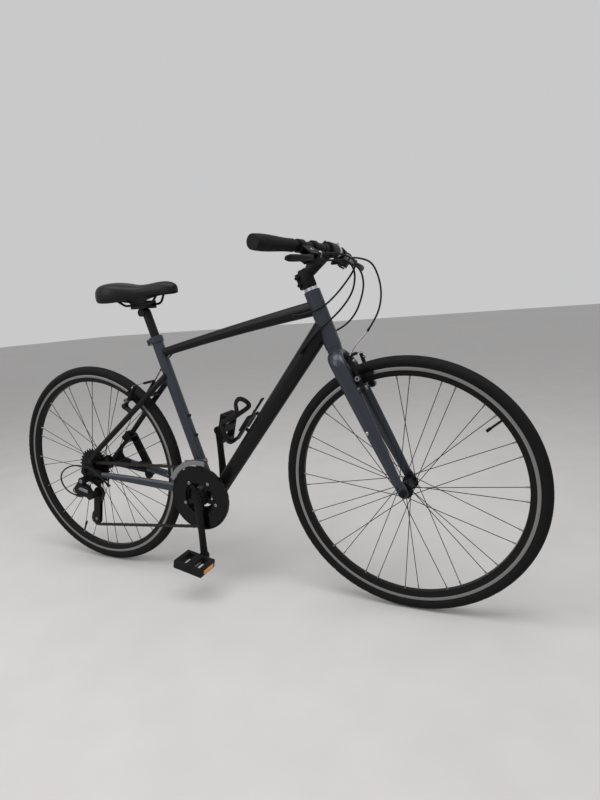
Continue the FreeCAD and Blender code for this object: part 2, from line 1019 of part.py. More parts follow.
# Rear triangle
stay_end_side = s.rear_spacing / 2 + s.dropout_thickness / 2
chain_end = rear_axle + Vector(float(s.chainstay_end_reach), 0, -float(s.chainstay_end_drop))
stay_end = rear_axle + Vector(float(s.seatstay_end_reach), 0, float(s.seatstay_end_rise))
stay_top = seat(s.seatstay_top_height)


def on_line(axle, start, end, radius):
    """The point of a line, seen from the side, at a distance from an axle."""
    way = unit(end - start)
    offset = start - axle
    ahead = offset.dot(way)
    rest = ahead**2 - offset.dot(offset) + float(radius) ** 2
    return start + way * (math.sqrt(rest) - ahead)


# Rear ends of the frame
def side_on(centre):
    """A placement whose local X runs forward and whose local Y runs up."""
    return facing(centre, Y * -1, X)


def dropout(name):
    foot = HANGER_SHARES if name == "right" else PLAIN_FOOT_SHARES
    shares = DROPOUT_HEEL_SHARES + foot + DROPOUT_WEB_SHARES
    points = [(s.chainstay_end_reach * x, s.seatstay_end_rise * z) for x, z in shares]
    eyelet_x, eyelet_z = EYELET_SHARES
    holes = [
        (0, 0, s.axle_radius),
        (s.chainstay_end_reach * eyelet_x, s.seatstay_end_rise * eyelet_z, s.eyelet_radius),
    ]
    centre = rear_axle + Y * (SIDES[name] * float(stay_end_side))
    return plate(f"dropout_{name}", [points], holes, s.dropout_thickness, side_on(centre))


dropout_plates = {name: dropout(name) for name in SIDES}


def dropouts():
    node("dropouts", group("dropout_pair", *dropout_plates.values()))


def stay_sections(places, depth, width):
    """Ellipses along a stay, each turned to the line from the place before to the place after."""
    sections = []
    for n, place in enumerate(places):
        way = unit(places[min(n + 1, len(places) - 1)] - places[max(n - 1, 0)])
        deep = unit(way.cross(unit(Y - way * way.dot(Y))))
        sections.append((place, way, deep, depth[n], width[n]))
    return sections


def chainstay_solid(name):
    side = SIDES[name]
    places = [
        bracket + Y * (side * float(s.chainstay_front_side)),
        on_line(rear_axle, chain_end, bracket, tyre_radius) + Y * (side * float(s.chainstay_tyre_side)),
        chain_end + Y * (side * float(stay_end_side)),
    ]
    depths = [s.chainstay_front_depth, s.chainstay_front_depth, s.chainstay_back_depth]
    widths = [s.chainstay_front_width, s.chainstay_front_width, s.chainstay_back_width]
    return loft(f"chainstay_{name}_loft", stay_sections(places, depths, widths))


def seatstay_solid(name):
    side = SIDES[name]
    places = [
        stay_top + Y * (side * float(s.seatstay_top_side)),
        on_line(rear_axle, stay_end, stay_top, tyre_radius) + Y * (side * float(s.seatstay_tyre_side)),
        stay_end + Y * (side * float(stay_end_side)),
    ]
    count = len(places)
    return loft(
        f"seatstay_{name}_loft",
        stay_sections(places, [s.seatstay_depth] * count, [s.seatstay_width] * count),
    )


def chainstays():
    stays = [
        cut(chainstay_solid(name), shell_solid(s.shell_radius), dropout_plates[name])
        for name in SIDES
    ]
    node("chainstays", group("chainstay_pair", *stays))


# Rim brake places, front on the fork and rear on the seatstays
BRAKES = {
    "front": (
        front_axle,
        steer(s.blade_end_height, s.blade_end_fore),
        steer(blade_top_height, s.blade_top_fore),
        1,
    ),
    "rear": (rear_axle, stay_end, stay_top, -1),
}
arm_start = s.brake_boss_reach + s.rest_gap
arm_end = arm_start + s.brake_arm_thickness


def brake_frame(end):
    """The foot of a brake's pivots on the carrier's line, the arms' way up and the way off the carrier."""
    axle, foot, top, turn = BRAKES[end]
    base = on_line(axle, foot, top, brake_pivot_radius)
    spoke_way = unit(base - axle)
    rim_way = Y.cross(spoke_way) * turn
    tilt = math.asin(float((arm_start + arm_end) / 2) / float(brake_pivot_radius))
    up = spoke_way * math.cos(tilt) + rim_way * math.sin(tilt)
    out = rim_way * math.cos(tilt) - spoke_way * math.sin(tilt)
    return base, up, out


def on_arm(end, name, along):
    """A place on a brake arm's middle line, at a distance up from its pivot."""
    base, up, out = brake_frame(end)
    side = s.brake_pivot_side + s.brake_arm_splay * (float(along) / float(s.brake_arm_length))
    line = base + out * float((arm_start + arm_end) / 2)
    return line + up * float(along) + Y * (SIDES[name] * float(side))


def brake_bosses(end, side):
    base, _, out = brake_frame(end)
    root = base + Y * (side * float(s.brake_pivot_side))
    bolt_start = arm_end + s.rest_gap
    tip = root + out * float(bolt_start + s.brake_bolt_height)
    return [
        rod("brake_boss", s.brake_boss_radius, root, root + out * float(s.brake_boss_reach)),
        rod("brake_stud", s.brake_stud_radius, root, tip),
        rod("brake_bolt", s.brake_bolt_radius, root + out * float(bolt_start), tip),
    ]


def seatstays():
    bridge_place = on_line(rear_axle, stay_end, stay_top, tyre_radius + s.bridge_clearance)
    bridge_half = Y * float(s.seatstay_tyre_side - s.seatstay_width / 4)
    solids = [rod("stay_bridge", s.bridge_radius, bridge_place - bridge_half, bridge_place + bridge_half)]
    for name, side in SIDES.items():
        solids.append(seatstay_solid(name))
        solids.extend(brake_bosses("rear", side))
    stays = cut(
        fuse(*solids),
        whole_seat_tube(),
        *dropout_plates.values(),
    )
    node("seatstays", stays)


# Seat clamp, seatpost and saddle
def seat_clamp():
    low = s.seat_tube_length - s.clamp_height
    middle = s.seat_tube_length - s.clamp_height / 2
    outer = s.seat_tube_radius + s.clamp_wall
    lug_centre = seat(middle, -(outer + s.clamp_lug / 4))
    ring = rod("clamp_ring", outer, seat(low), seat(s.seat_tube_length))
    lug = block("clamp_lug", s.clamp_lug, s.clamp_lug, s.clamp_height, lug_centre, seat_up, seat_fore)
    slit_sizes = (s.clamp_lug * 2, s.clamp_slit, s.clamp_height * 2)
    slit = block("clamp_slit", *slit_sizes, lug_centre, seat_up, seat_fore)
    bolt_half = Y * float(s.clamp_lug / 2 + s.clamp_bolt_radius)
    bolt = rod("clamp_bolt", s.clamp_bolt_radius, lug_centre - bolt_half, lug_centre + bolt_half)
    bore = rod("clamp_bore", s.seat_tube_radius, *longer(seat(low), seat(s.seat_tube_length)))
    clamp = cut(fuse(ring, lug), bore, slit, bolt)
    node("seat_clamp", group("clamp_and_bolt", clamp, bolt))


post_top = s.seat_tube_length + s.post_show
post_bottom = s.seat_tube_length - s.post_bury
rail_middle = seat(post_top) - X * float(s.rail_setback) + Z * float(s.rail_rise)
cradle_rise = -(s.rail_radius + s.rail_clamp_thickness / 2)
head_rise = -(s.rail_radius + s.rail_clamp_thickness + s.post_head_radius)


def at_rails(fore=0, rise=0, side=0):
    """A place told from the middle of the rails' flat."""
    return rail_middle + Vector(float(fore), float(side), float(rise))


def seatpost():
    head = at_rails(0, head_rise)
    post = rod("post_tube", s.post_radius, seat(post_bottom), seat(post_top))
    link = rod("post_link", s.post_link_radius, seat(post_top - s.post_link_drop), head)
    barrel = disc("post_head", s.post_head_radius, s.post_head_width, head, Y)
    node("seatpost", fuse(post, link, barrel))


def saddle_rails():
    solids = []
    for name, side in SIDES.items():
        wide = s.rail_side * side
        points = [
            at_rails(-s.rail_tail_reach, s.rail_tail_rise, wide),
            at_rails(-s.rail_flat_half, 0, wide),
            at_rails(s.rail_flat_half, 0, wide),
            at_rails(s.rail_nose_reach, s.rail_nose_rise, s.rail_nose_side * side),
        ]
        solids.append(pipe(f"rail_{name}", s.rail_radius, points, s.rail_bend))
    plates = []
    for rise in (cradle_rise, -cradle_rise):
        sizes = (s.rail_clamp_length, s.rail_clamp_width, s.rail_clamp_thickness)
        plates.append(block("rail_clamp", *sizes, at_rails(0, rise), Z, X))
    high = s.rail_radius + s.rail_clamp_thickness + s.rail_bolt_height
    bolt = rod("rail_bolt", s.rail_bolt_radius, at_rails(0, cradle_rise), at_rails(0, high))
    node("saddle_rails", group("rails_and_clamp", *solids, fuse(*plates, bolt)))


def saddle_section(place, half, rise, drop, depth):
    """A closed line and three arcs across the saddle: flat below, drawn-in sides and a crown."""
    crown = float(s.saddle_rise - s.saddle_underside_rise)
    length = s.saddle_tail_reach + s.saddle_nose_reach
    x = at_rails(length * place - s.saddle_tail_reach).x
    side = float(s.saddle_width) / 2 * half
    underside = at_rails(0, s.saddle_underside_rise).z
    bottom = underside - float(s.saddle_underside_rise - s.saddle_skirt_rise) * depth
    top = underside + crown * rise
    shoulder = top - crown * drop
    foot = side * SADDLE_FOOT_SHARE
    edge = side * SADDLE_EDGE_SHARE
    middle = (bottom + shoulder) / 2
    places = [(-foot, bottom), (foot, bottom), (edge, shoulder), (-edge, shoulder)]
    corners = [Vector(x, y, z) for y, z in places]
    edges = [
        Part.LineSegment(corners[0], corners[1]).toShape(),
        Part.Arc(corners[1], Vector(x, side, middle), corners[2]).toShape(),
        Part.Arc(corners[2], Vector(x, 0, top), corners[3]).toShape(),
        Part.Arc(corners[3], Vector(x, -side, middle), corners[0]).toShape(),
    ]
    return Part.Wire(edges)


def saddle():
    body = doc.addObject("Part::Feature", "saddle_loft")
    body.Shape = Part.makeLoft([saddle_section(*shares) for shares in SADDLE_SHARES], True, False)
    flat_end = at_rails(s.rail_flat_half, 0, s.rail_side)
    nose_way = unit(at_rails(s.rail_nose_reach, s.rail_nose_rise, s.rail_nose_side) - flat_end)
    ceiling = s.rail_nose_rise + s.rail_radius * math.hypot(nose_way.x, nose_way.y) + s.rest_gap
    height = ceiling - s.saddle_skirt_rise + s.cut_overrun
    recesses = []
    for back, front, side in (
        (-(s.rail_tail_reach + s.saddle_recess_margin), s.saddle_recess_step, s.saddle_recess_side),
        (s.saddle_recess_step, s.rail_nose_reach + s.saddle_recess_margin, s.saddle_recess_nose_side),
    ):
        centre = at_rails((back + front) / 2, ceiling - height / 2)
        recesses.append(block("saddle_recess", front - back, side * 2, height, centre, Z, X))
    node("saddle", cut(body, *recesses))


# Fork
def fork_crown():
    rise = crown_height - s.rest_gap - s.crown_race_height - s.crown_arch_width / 2 - blade_top_height
    sections = []
    for n in range(CROWN_SECTIONS):
        turn = math.pi * n / (CROWN_SECTIONS - 1)
        end = n in (0, CROWN_SECTIONS - 1)
        centre = steer(
            blade_top_height + rise * math.sin(turn),
            s.blade_top_fore * (1 - math.sin(turn)),
            -s.blade_top_side * math.cos(turn),
        )
        depth = s.blade_top_depth if end else s.crown_arch_depth
        width = s.blade_top_width if end else s.crown_arch_width
        sections.append((centre, steer_up * math.cos(turn) + Y * math.sin(turn), steer_fore, depth, width))
    arch = loft("crown_arch", sections)
    race_top = crown_height - s.rest_gap
    race = rod("crown_race", s.crown_race_radius, steer(blade_top_height + rise), steer(race_top))
    bore_radius = s.steerer_radius - s.steerer_wall
    bore = rod("steerer_bore", bore_radius, steer(race_top), steer(stem_top + s.cut_overrun))
    steerer = rod("steerer", s.steerer_radius, steer(blade_top_height + rise), steer(stem_top))
    node("fork_crown", cut(fuse(arch, race, steerer), bore))


def fork_blade(name):
    side = SIDES[name]
    top = steer(blade_top_height, s.blade_top_fore, s.blade_top_side * side)
    end = steer(s.blade_end_height, s.blade_end_fore, fork_end_side * side)
    way = unit(top - end)
    sections = [
        (top, steer_up, steer_fore, s.blade_top_depth, s.blade_top_width),
        ((top + end) / 2, way, steer_fore, s.blade_middle_depth, s.blade_middle_width),
        (end, way, steer_fore, s.blade_end_depth, s.blade_end_width),
    ]
    points = [
        (s.fork_rake + s.fork_end_width * fore, s.blade_end_height * up) for fore, up in FORK_END_SHARES
    ]
    eyelet_fore, eyelet_up = FORK_EYELET_SHARES
    holes = [
        (s.fork_rake, 0, s.axle_radius),
        (s.fork_rake + s.fork_end_width * eyelet_fore, s.blade_end_height * eyelet_up, s.eyelet_radius),
    ]
    place = facing(steer(0, 0, side * float(fork_end_side)), Y * -1, steer_fore)
    tip = plate(f"fork_end_{name}", [points], holes, s.fork_end_thickness, place)
    return fuse(loft(f"blade_{name}", sections), tip, *brake_bosses("front", side))


def fork_blades():
    node("fork_blades", group("blade_pair", *[fork_blade(name) for name in SIDES]))


# Stem and headset parts
def headset_spacers():
    ring_start = head_top + s.rest_gap
    ring_end = ring_start + s.ring_height
    ring = sleeve("headset_ring", s.ring_radius, s.steerer_radius, steer(ring_start), steer(ring_end))
    spacer = sleeve("spacer", s.spacer_radius, s.steerer_radius, steer(ring_end), steer(stem_bottom))
    cap = rod("stem_cap", s.stem_cap_radius, steer(stem_top), steer(stem_top + s.stem_cap_height))
    node("headset_spacers", group("headset_stack", ring, spacer, cap))


def stem():
    root = steer(stem_top - s.stem_root_drop)
    up = unit(stem_way.cross(Y))
    outer = s.bar_clamp_radius + s.bar_clamp_wall
    clamp = rod("stem_clamp", s.stem_clamp_radius, steer(stem_bottom), steer(stem_top))
    neck = loft(
        "stem_neck",
        [
            (root, stem_way, up, s.stem_depth, s.stem_width),
            (bar_centre, stem_way, up, s.stem_front_depth, s.stem_width),
        ],
    )
    ring = disc("bar_clamp", outer, s.bar_clamp_width, bar_centre, Y)
    lug_back = -(s.stem_clamp_radius + s.stem_lug_depth / 4)
    middle = (stem_bottom + stem_top) / 2
    lug_sizes = (s.stem_lug_depth, s.stem_lug_width, s.stem_clamp_height)
    lug = block("stem_lug", *lug_sizes, steer(middle, lug_back), steer_up, steer_fore)
    slit_sizes = (s.stem_clamp_radius * 2, s.faceplate_gap, s.stem_clamp_height * 2)
    slit = block("stem_slit", *slit_sizes, steer(middle, -s.stem_clamp_radius), steer_up, steer_fore)
    lugs = []
    bolts = []
    depth = stem_way * float(s.faceplate_bolt_depth)
    for across in (-1, 1):
        for rise in (-1, 1):
            place = bar_centre + Y * (across * float(s.faceplate_bolt_spread))
            place = place + up * (rise * float(s.faceplate_bolt_rise))
            lugs.append(rod("faceplate_lug", s.faceplate_lug_radius, place - depth, place + depth))
            bolts.append(rod("faceplate_bolt", s.faceplate_bolt_radius, place - depth, place + depth))
        centre = steer(middle + s.stem_bolt_spread * across / 2, lug_back)
        bolts.append(disc("pinch_bolt", s.stem_bolt_radius, s.stem_bolt_length, centre, Y))
    gap_width = (outer + s.faceplate_bolt_rise) * 2
    gap = block(
        "faceplate_gap_solid",
        s.bar_clamp_width + s.cut_overrun * 2,
        gap_width,
        s.faceplate_gap,
        bar_centre,
        stem_way,
        Y,
    )
    bore = rod("stem_bore", s.steerer_radius, *longer(steer(stem_bottom), steer(stem_top)))
    bar_bore = disc("bar_bore", s.bar_clamp_radius, s.bar_clamp_width + s.cut_overrun * 2, bar_centre, Y)
    cap_top = steer(stem_top + s.stem_cap_height + s.stem_depth)
    cap_space = rod("cap_space", s.stem_cap_radius + s.rest_gap, steer(stem_top), cap_top)
    body = cut(fuse(clamp, neck, ring, lug, *lugs), bore, bar_bore, cap_space, gap, slit, *bolts)
    node("stem", group("stem_and_bolts", body, *bolts))


# Handlebar and what it carries, on each side's own line from the bend outward
def bar_ways(side):
    """The ways outward along the bar, forward and down past it, and up off that slope."""
    sweep = degrees(s.bar_sweep_angle)
    tilt = degrees(s.lever_tilt_angle)
    fore = Vector(math.cos(sweep), side * math.sin(sweep), 0)
    out = Vector(-math.sin(sweep), side * math.cos(sweep), 0)
    return out, fore * math.cos(tilt) - Z * math.sin(tilt), fore * math.sin(tilt) + Z * math.cos(tilt)


def on_bar(side, along, reach=0, lift=0):
    out, down, up = bar_ways(side)
    corner = bar_centre + Y * (side * float(s.bar_bend_place))
    return corner + out * float(along - s.bar_bend_place) + down * float(reach) + up * float(lift)


bar_end = s.bar_bend_place + (s.bar_half_width - s.bar_bend_place) / math.cos(degrees(s.bar_sweep_angle))
lever_pivot = s.lever_place - s.lever_pivot_back


def handlebar():
    places = [(-1, bar_end), (-1, s.bar_bend_place), (1, s.bar_bend_place), (1, bar_end)]
    points = [on_bar(side, along) for side, along in places]
    tube = pipe("bar_tube", s.bar_radius, points, s.bar_bend_radius)
    inside = pipe("bar_inside", s.bar_radius - s.tube_wall, points, s.bar_bend_radius)
    bulge = disc("bar_bulge", s.bar_clamp_radius, s.bar_bulge_width, bar_centre, Y)
    node("handlebar", cut(fuse(tube, bulge), inside))


def grips():
    pair = []
    for name, side in SIDES.items():
        out = bar_ways(side)[0]
        radii = (s.grip_inner_radius, s.grip_waist_radius, s.grip_outer_radius, s.grip_end_radius)
        start = bar_end - s.grip_length
        length = s.grip_length + s.grip_cap_length
        sections = [
            (on_bar(side, start + length * share), out, Z, radius * 2, radius * 2)
            for share, radius in zip(GRIP_SHARES, radii)
        ]
        bar = rod("grip_bore", s.bar_radius, on_bar(side, start - s.cut_overrun), on_bar(side, bar_end))
        pair.append(cut(loft(f"grip_{name}", sections), bar))
    node("grips", group("grip_pair", *pair))


def brake_brackets():
    pair = []
    for side in SIDES.values():
        out, _, up = bar_ways(side)
        clamp_centre = on_bar(side, s.lever_place)
        clamp = disc("lever_clamp", s.lever_clamp_radius, s.lever_clamp_width, clamp_centre, out)
        body_centre = on_bar(side, lever_pivot, s.lever_body_start + s.lever_body_reach / 2)
        body_sizes = (s.lever_body_length, s.lever_body_reach, s.lever_body_height)
        body = block("lever_body", *body_sizes, body_centre, up, out)
        inner_end = lever_pivot - s.lever_body_length / 2
        barrel = rod(
            "lever_barrel",
            s.barrel_radius,
            on_bar(side, inner_end - s.barrel_length, s.lever_pivot_reach),
            on_bar(side, inner_end + s.barrel_radius, s.lever_pivot_reach),
        )
        slot_margin = s.lever_eye_radius + s.lever_slot_gap
        slot_centre = on_bar(
            side,
            lever_pivot - slot_margin + s.lever_slot_length / 2,
            s.lever_pivot_reach - slot_margin + s.lever_slot_length / 2,
        )
        slot_sizes = (s.lever_slot_length, s.lever_slot_length, s.lever_slot)
        slot = block("lever_slot", *slot_sizes, slot_centre, up, out)
        pivot = on_bar(side, lever_pivot, s.lever_pivot_reach)
        pin = disc("lever_pin", s.lever_pivot_radius, s.lever_body_height, pivot, up)
        bar = disc("bracket_bore", s.bar_radius, s.lever_body_length * 2, on_bar(side, lever_pivot), out)
        pair.append(cut(fuse(cut(fuse(clamp, body, barrel), slot), pin), bar))
    node("brake_brackets", group("bracket_pair", *pair))


def brake_levers():
    for name, side in SIDES.items():
        up = bar_ways(side)[2]
        reach = s.lever_blade_reach - s.lever_pivot_reach
        places = [
            on_bar(side, lever_pivot + s.lever_blade_length * along, s.lever_pivot_reach + reach * rise)
            for along, rise in LEVER_SHARES
        ]
        sections = []
        for n, place in enumerate(places):
            way = unit(places[min(n + 1, len(places) - 1)] - places[max(n - 1, 0)])
            sections.append((place, way, way.cross(up), s.lever_blade_width, s.lever_blade_thickness))
        blade = loft(f"lever_blade_{name}", sections)
        eye = disc("lever_eye", s.lever_eye_radius, s.lever_blade_thickness, places[0], up)
        tip = ball("lever_tip", s.lever_tip_radius, places[-1])
        bore_radius = s.lever_pivot_radius + s.running_clearance
        bore = disc("lever_bore", bore_radius, s.lever_blade_thickness * 2, places[0], up)
        node(f"brake_lever_{name}", cut(fuse(blade, eye, tip), bore))


lever_drop = s.pod_drop + s.pod_height / 2 + s.shift_lever_gap


def shifter_pods():
    pair = []
    for name, side in SIDES.items():
        out, _, up = bar_ways(side)
        clamp = disc("pod_clamp", s.lever_clamp_radius, s.pod_clamp_width, on_bar(side, s.pod_place), out)
        centre = on_bar(side, s.pod_place, s.pod_centre_reach, -s.pod_drop)
        case = block("pod_case", s.pod_length, s.pod_reach, s.pod_height, centre, up, out)
        bar = disc("pod_bore", s.bar_radius, s.pod_length * 2, on_bar(side, s.pod_place), out)
        pin_end = lever_drop + s.shift_lever_thickness + s.shift_lever_gap
        pin = rod(
            "shift_pin",
            s.shift_pin_radius,
            centre,
            on_bar(side, s.pod_place, s.pod_centre_reach, -pin_end),
        )
        start, onward = SHIFT_ROUTES[name][:2]
        barrel_back = start - unit(onward - start) * float(s.barrel_length)
        barrel = rod("pod_barrel", s.barrel_radius, barrel_back, start)
        pair.append(cut(fuse(clamp, case, pin, barrel), bar))
    node("shifter_pods", group("pod_pair", *pair))


def shift_levers():
    for name, side in SIDES.items():
        out, _, up = bar_ways(side)
        drop = -(lever_drop + s.shift_lever_thickness / 2)
        centre = on_bar(side, s.pod_place, s.pod_centre_reach, drop)
        far = on_bar(side, s.pod_place + s.shift_lever_length / 2, s.pod_centre_reach, drop)
        eye = disc("shift_eye", s.shift_eye_radius, s.shift_lever_thickness, centre, up)
        sizes = (s.shift_lever_length, s.shift_lever_width, s.shift_lever_thickness)
        arm = block("shift_arm", *sizes, far, up, out)
        bore_radius = s.shift_pin_radius + s.running_clearance
        bore = disc("shift_bore", bore_radius, s.shift_lever_thickness * 2, centre, up)
        node(f"shift_lever_{name}", cut(fuse(eye, arm), bore))


def bell():
    place = bar_centre + Y * float(s.bell_place)
    top = place - Z * float(s.bell_drop)
    strap = disc("bell_strap", s.bell_strap_radius, s.bell_strap_width, place, Y)
    stalk = rod("bell_stalk", s.bell_stalk_radius, top, place)
    bore = disc("bell_bore", s.bar_clamp_radius, s.bell_strap_width * 2, place, Y)
    mouth_centre = top - Z * float(s.bell_radius / 2)
    mouth = block("bell_mouth", s.bell_radius * 2, s.bell_radius * 2, s.bell_radius, mouth_centre, Z, X)
    hollow_space = ball("bell_hollow", s.bell_radius - s.bell_wall, top)
    dome = cut(ball("bell_dome", s.bell_radius, top), hollow_space, mouth)
    node("bell", cut(fuse(strap, stalk, dome), bore))


# Wheels
def ring_solid(name, radius, section, centre):
    item = doc.addObject("Part::Torus", name)
    bind(item, "Radius1", radius)
    bind(item, "Radius2", section)
    item.Placement = facing(centre, Y)
    return item


def radial(angle):
    """The way out from an axle at an angle in degrees from forward, turning upward."""
    return X * math.cos(math.radians(angle)) + Z * math.sin(math.radians(angle))


def tyre(end, axle):
    middle = tyre_radius - s.tyre_section / 2
    solid = ring_solid(f"{end}_tyre_ring", middle, s.tyre_section / 2, axle)
    inside = ring_solid(f"{end}_tyre_inside", middle, s.tyre_section / 2 - s.tyre_wall, axle)
    mouth = disc(f"{end}_tyre_mouth", s.rim_radius, s.tyre_section * 2, axle, Y)
    node(f"{end}_tyre", cut(solid, inside, mouth))


def rim(end, axle, valve_angle):
    half = s.rim_width / 2
    floor = s.rim_radius - s.rim_well_depth
    inner = s.rim_radius - s.rim_depth
    track_end = s.rim_radius - s.rim_track_depth
    outside = [
        (s.rim_radius, half),
        (s.rim_radius, half - s.rim_lip),
        (floor, half - s.rim_lip),
        (floor, -(half - s.rim_lip)),
        (s.rim_radius, -(half - s.rim_lip)),
        (s.rim_radius, -half),
        (track_end, -half),
        (inner, -s.rim_inner_width / 2),
        (inner, s.rim_inner_width / 2),
        (track_end, half),
    ]
    cavity_half = half - s.rim_cavity_wall
    cavity_end = s.rim_inner_width / 2 - s.rim_cavity_wall / 2
    cavity = [
        (floor - s.rim_cavity_wall, cavity_half),
        (floor - s.rim_cavity_wall, -cavity_half),
        (inner + s.rim_cavity_wall, -cavity_end),
        (inner + s.rim_cavity_wall, cavity_end),
    ]
    hoop = turned(f"{end}_rim_turned", [outside, cavity], facing(axle, Y))
    way = radial(float(valve_angle))
    foot = axle + way * float(inner + s.rim_cavity_wall / 2)
    tip = axle + way * float(inner - s.valve_length)
    valve = rod(f"{end}_valve", s.valve_radius, foot, tip)
    cap = rod(f"{end}_valve_cap", s.valve_cap_radius, tip, tip + way * float(s.valve_cap_length))
    node(f"{end}_rim", fuse(hoop, valve, cap))


def spokes(end, axle, flange_radius, places):
    """Pairs of spokes, one to each flange, leaning forward and back by turns."""
    rods = []
    pairs = int(float(s.spoke_pairs))
    rim_radius = float(s.rim_radius - s.rim_depth + s.rim_cavity_wall / 2)
    hub_radius = float(flange_radius - s.spoke_bury)
    for pair in range(pairs):
        lean = 1 if pair % 2 else -1
        for side, place in places:
            angle = 360 * pair / pairs + side * float(s.spoke_pair_angle) / 2
            hub_angle = angle + lean * side * float(s.spoke_cross_angle)
            step = lean * float(s.hub_flange_thickness) / 2
            start = axle + radial(hub_angle) * hub_radius + Y * (side * float(place) + step)
            finish = axle + radial(angle) * rim_radius + Y * (side * float(s.spoke_rim_offset))
            rods.append(rod(f"{end}_spoke", s.spoke_radius, start, finish))
    node(f"{end}_spokes", group(f"{end}_spoke_set", *rods))


def hub(end, axle, flange_radius, places, right_end, left_end):
    bore = s.axle_radius + s.running_clearance
    half = s.hub_flange_thickness / 2
    (_, right), (_, left) = places
    profile = [
        (bore, -right_end),
        (s.hub_end_radius, -right_end),
        (s.hub_end_radius, -(right + half)),
        (flange_radius, -(right + half)),
        (flange_radius, -(right - half)),
        (s.hub_barrel_radius, -(right - half)),
        (s.hub_barrel_radius, left - half),
        (flange_radius, left - half),
        (flange_radius, left + half),
        (s.hub_end_radius, left + half),
        (s.hub_end_radius, left_end),
        (bore, left_end),
    ]
    node(f"{end}_hub", turned(f"{end}_hub_turned", [profile], facing(axle, Y)))


def axle_rod(end, axle, spacing, thickness):
    face = spacing / 2 + thickness
    solids = [disc(f"{end}_axle_rod", s.axle_radius, (face + s.axle_nut_length) * 2, axle, Y)]
    for side in SIDES.values():
        centre = axle + Y * (side * float(face + s.axle_nut_length / 2))
        solids.append(disc(f"{end}_axle_nut", s.axle_nut_radius, s.axle_nut_length, centre, Y))
    node(f"{end}_axle", fuse(*solids))


hub_right_end = s.rear_flange_right + s.hub_flange_thickness / 2 + s.hub_stub
cassette_start = hub_right_end + s.cassette_gap
hub_left_end = s.rear_spacing / 2 - s.hub_end_gap


def wheels():
    front_places = [(-1, s.front_flange_place), (1, s.front_flange_place)]
    rear_places = [(-1, s.rear_flange_right), (1, s.rear_flange_left)]
    front_end = s.front_spacing / 2 - s.hub_end_gap
    tyre("front", front_axle)
    rim("front", front_axle, s.front_valve_angle)
    spokes("front", front_axle, s.front_flange_radius, front_places)
    hub("front", front_axle, s.front_flange_radius, front_places, front_end, front_end)
    axle_rod("front", front_axle, s.front_spacing, s.fork_end_thickness)
    tyre("rear", rear_axle)
    rim("rear", rear_axle, s.rear_valve_angle)
    spokes("rear", rear_axle, s.rear_flange_radius, rear_places)
    hub("rear", rear_axle, s.rear_flange_radius, rear_places, hub_right_end, hub_left_end)
    axle_rod("rear", rear_axle, s.rear_spacing, s.dropout_thickness)


# Sprockets
def pitch_radius(teeth):
    return s.link_pitch / (2 * math.sin(math.pi / float(teeth)))


def seat_radius(teeth):
    """The radius of a wheel that the chain's rollers lie on with a small gap."""
    return pitch_radius(teeth) - s.roller_radius - s.rest_gap


def toothed(name, teeth, thickness, bore, centre):
    """A sprocket whose teeth are worked out from the pitch and the rollers."""
    count = int(float(teeth))
    root = float(seat_radius(teeth))
    tip = float(pitch_radius(teeth)) + float(s.roller_radius) * TOOTH_TIP_SHARE
    points = []
    for tooth in range(count):
        for share, radius in zip(TOOTH_SHARES, (root, tip, tip, root)):
            points.append(radial(360 * (tooth + share) / count) * radius)
    half = Y * (float(thickness) / 2)
    face = Part.Face(Part.makePolygon([point - half for point in points + points[:1]]))
    hole = Part.makeCylinder(float(bore), float(thickness), half * -1, Y)
    item = doc.addObject("Part::Feature", name)
    item.Shape = face.extrude(half * 2).cut(hole)
    item.Placement = FreeCAD.Placement(centre, FreeCAD.Rotation())
    return item


chain_line = s.cog_line + s.cog_step * s.chain_cog
chain_side = Y * -float(chain_line)
upper_pulley_centre = rear_axle + X * float(s.upper_pulley_fore) - Z * float(s.upper_pulley_drop) + chain_side
lower_pulley_centre = rear_axle + X * float(s.lower_pulley_fore) - Z * float(s.lower_pulley_drop) + chain_side


def cassette():
    solids = []
    for n, teeth in enumerate(COG_TEETH):
        centre = rear_axle - Y * float(s.cog_line + s.cog_step * n)
        if n == round(float(s.chain_cog)):
            solids.append(disc("engaged_cog", seat_radius(teeth), s.cog_thickness, centre, Y))
        else:
            solids.append(toothed("cog", teeth, s.cog_thickness, s.axle_radius + s.rest_gap, centre))
    carrier = rod(
        "cog_carrier",
        s.cog_carrier_radius,
        rear_axle - Y * float(cassette_start),
        rear_axle - Y * float(hub_left_end),
    )
    bore = disc("cassette_bore", s.axle_radius + s.running_clearance, s.rear_spacing, rear_axle, Y)
    node("cassette", cut(fuse(carrier, *solids), bore))


# Cranks and chainrings
crank_way = Vector(math.sin(degrees(s.crank_angle)), 0, -math.cos(degrees(s.crank_angle)))
guard_face = s.guard_line - s.guard_thickness / 2
ring_face = chain_line + s.ring_thickness / 2


def beside(line):
    """The point on the bottom bracket's axis at a distance to the right."""
    return bracket - Y * float(line)


def crank_turned(n):
    """The ways out from the axis along each spider arm."""
    turn = FreeCAD.Rotation(Y, 360 * n / float(s.spider_arms))
    return turn.multVec(crank_way)


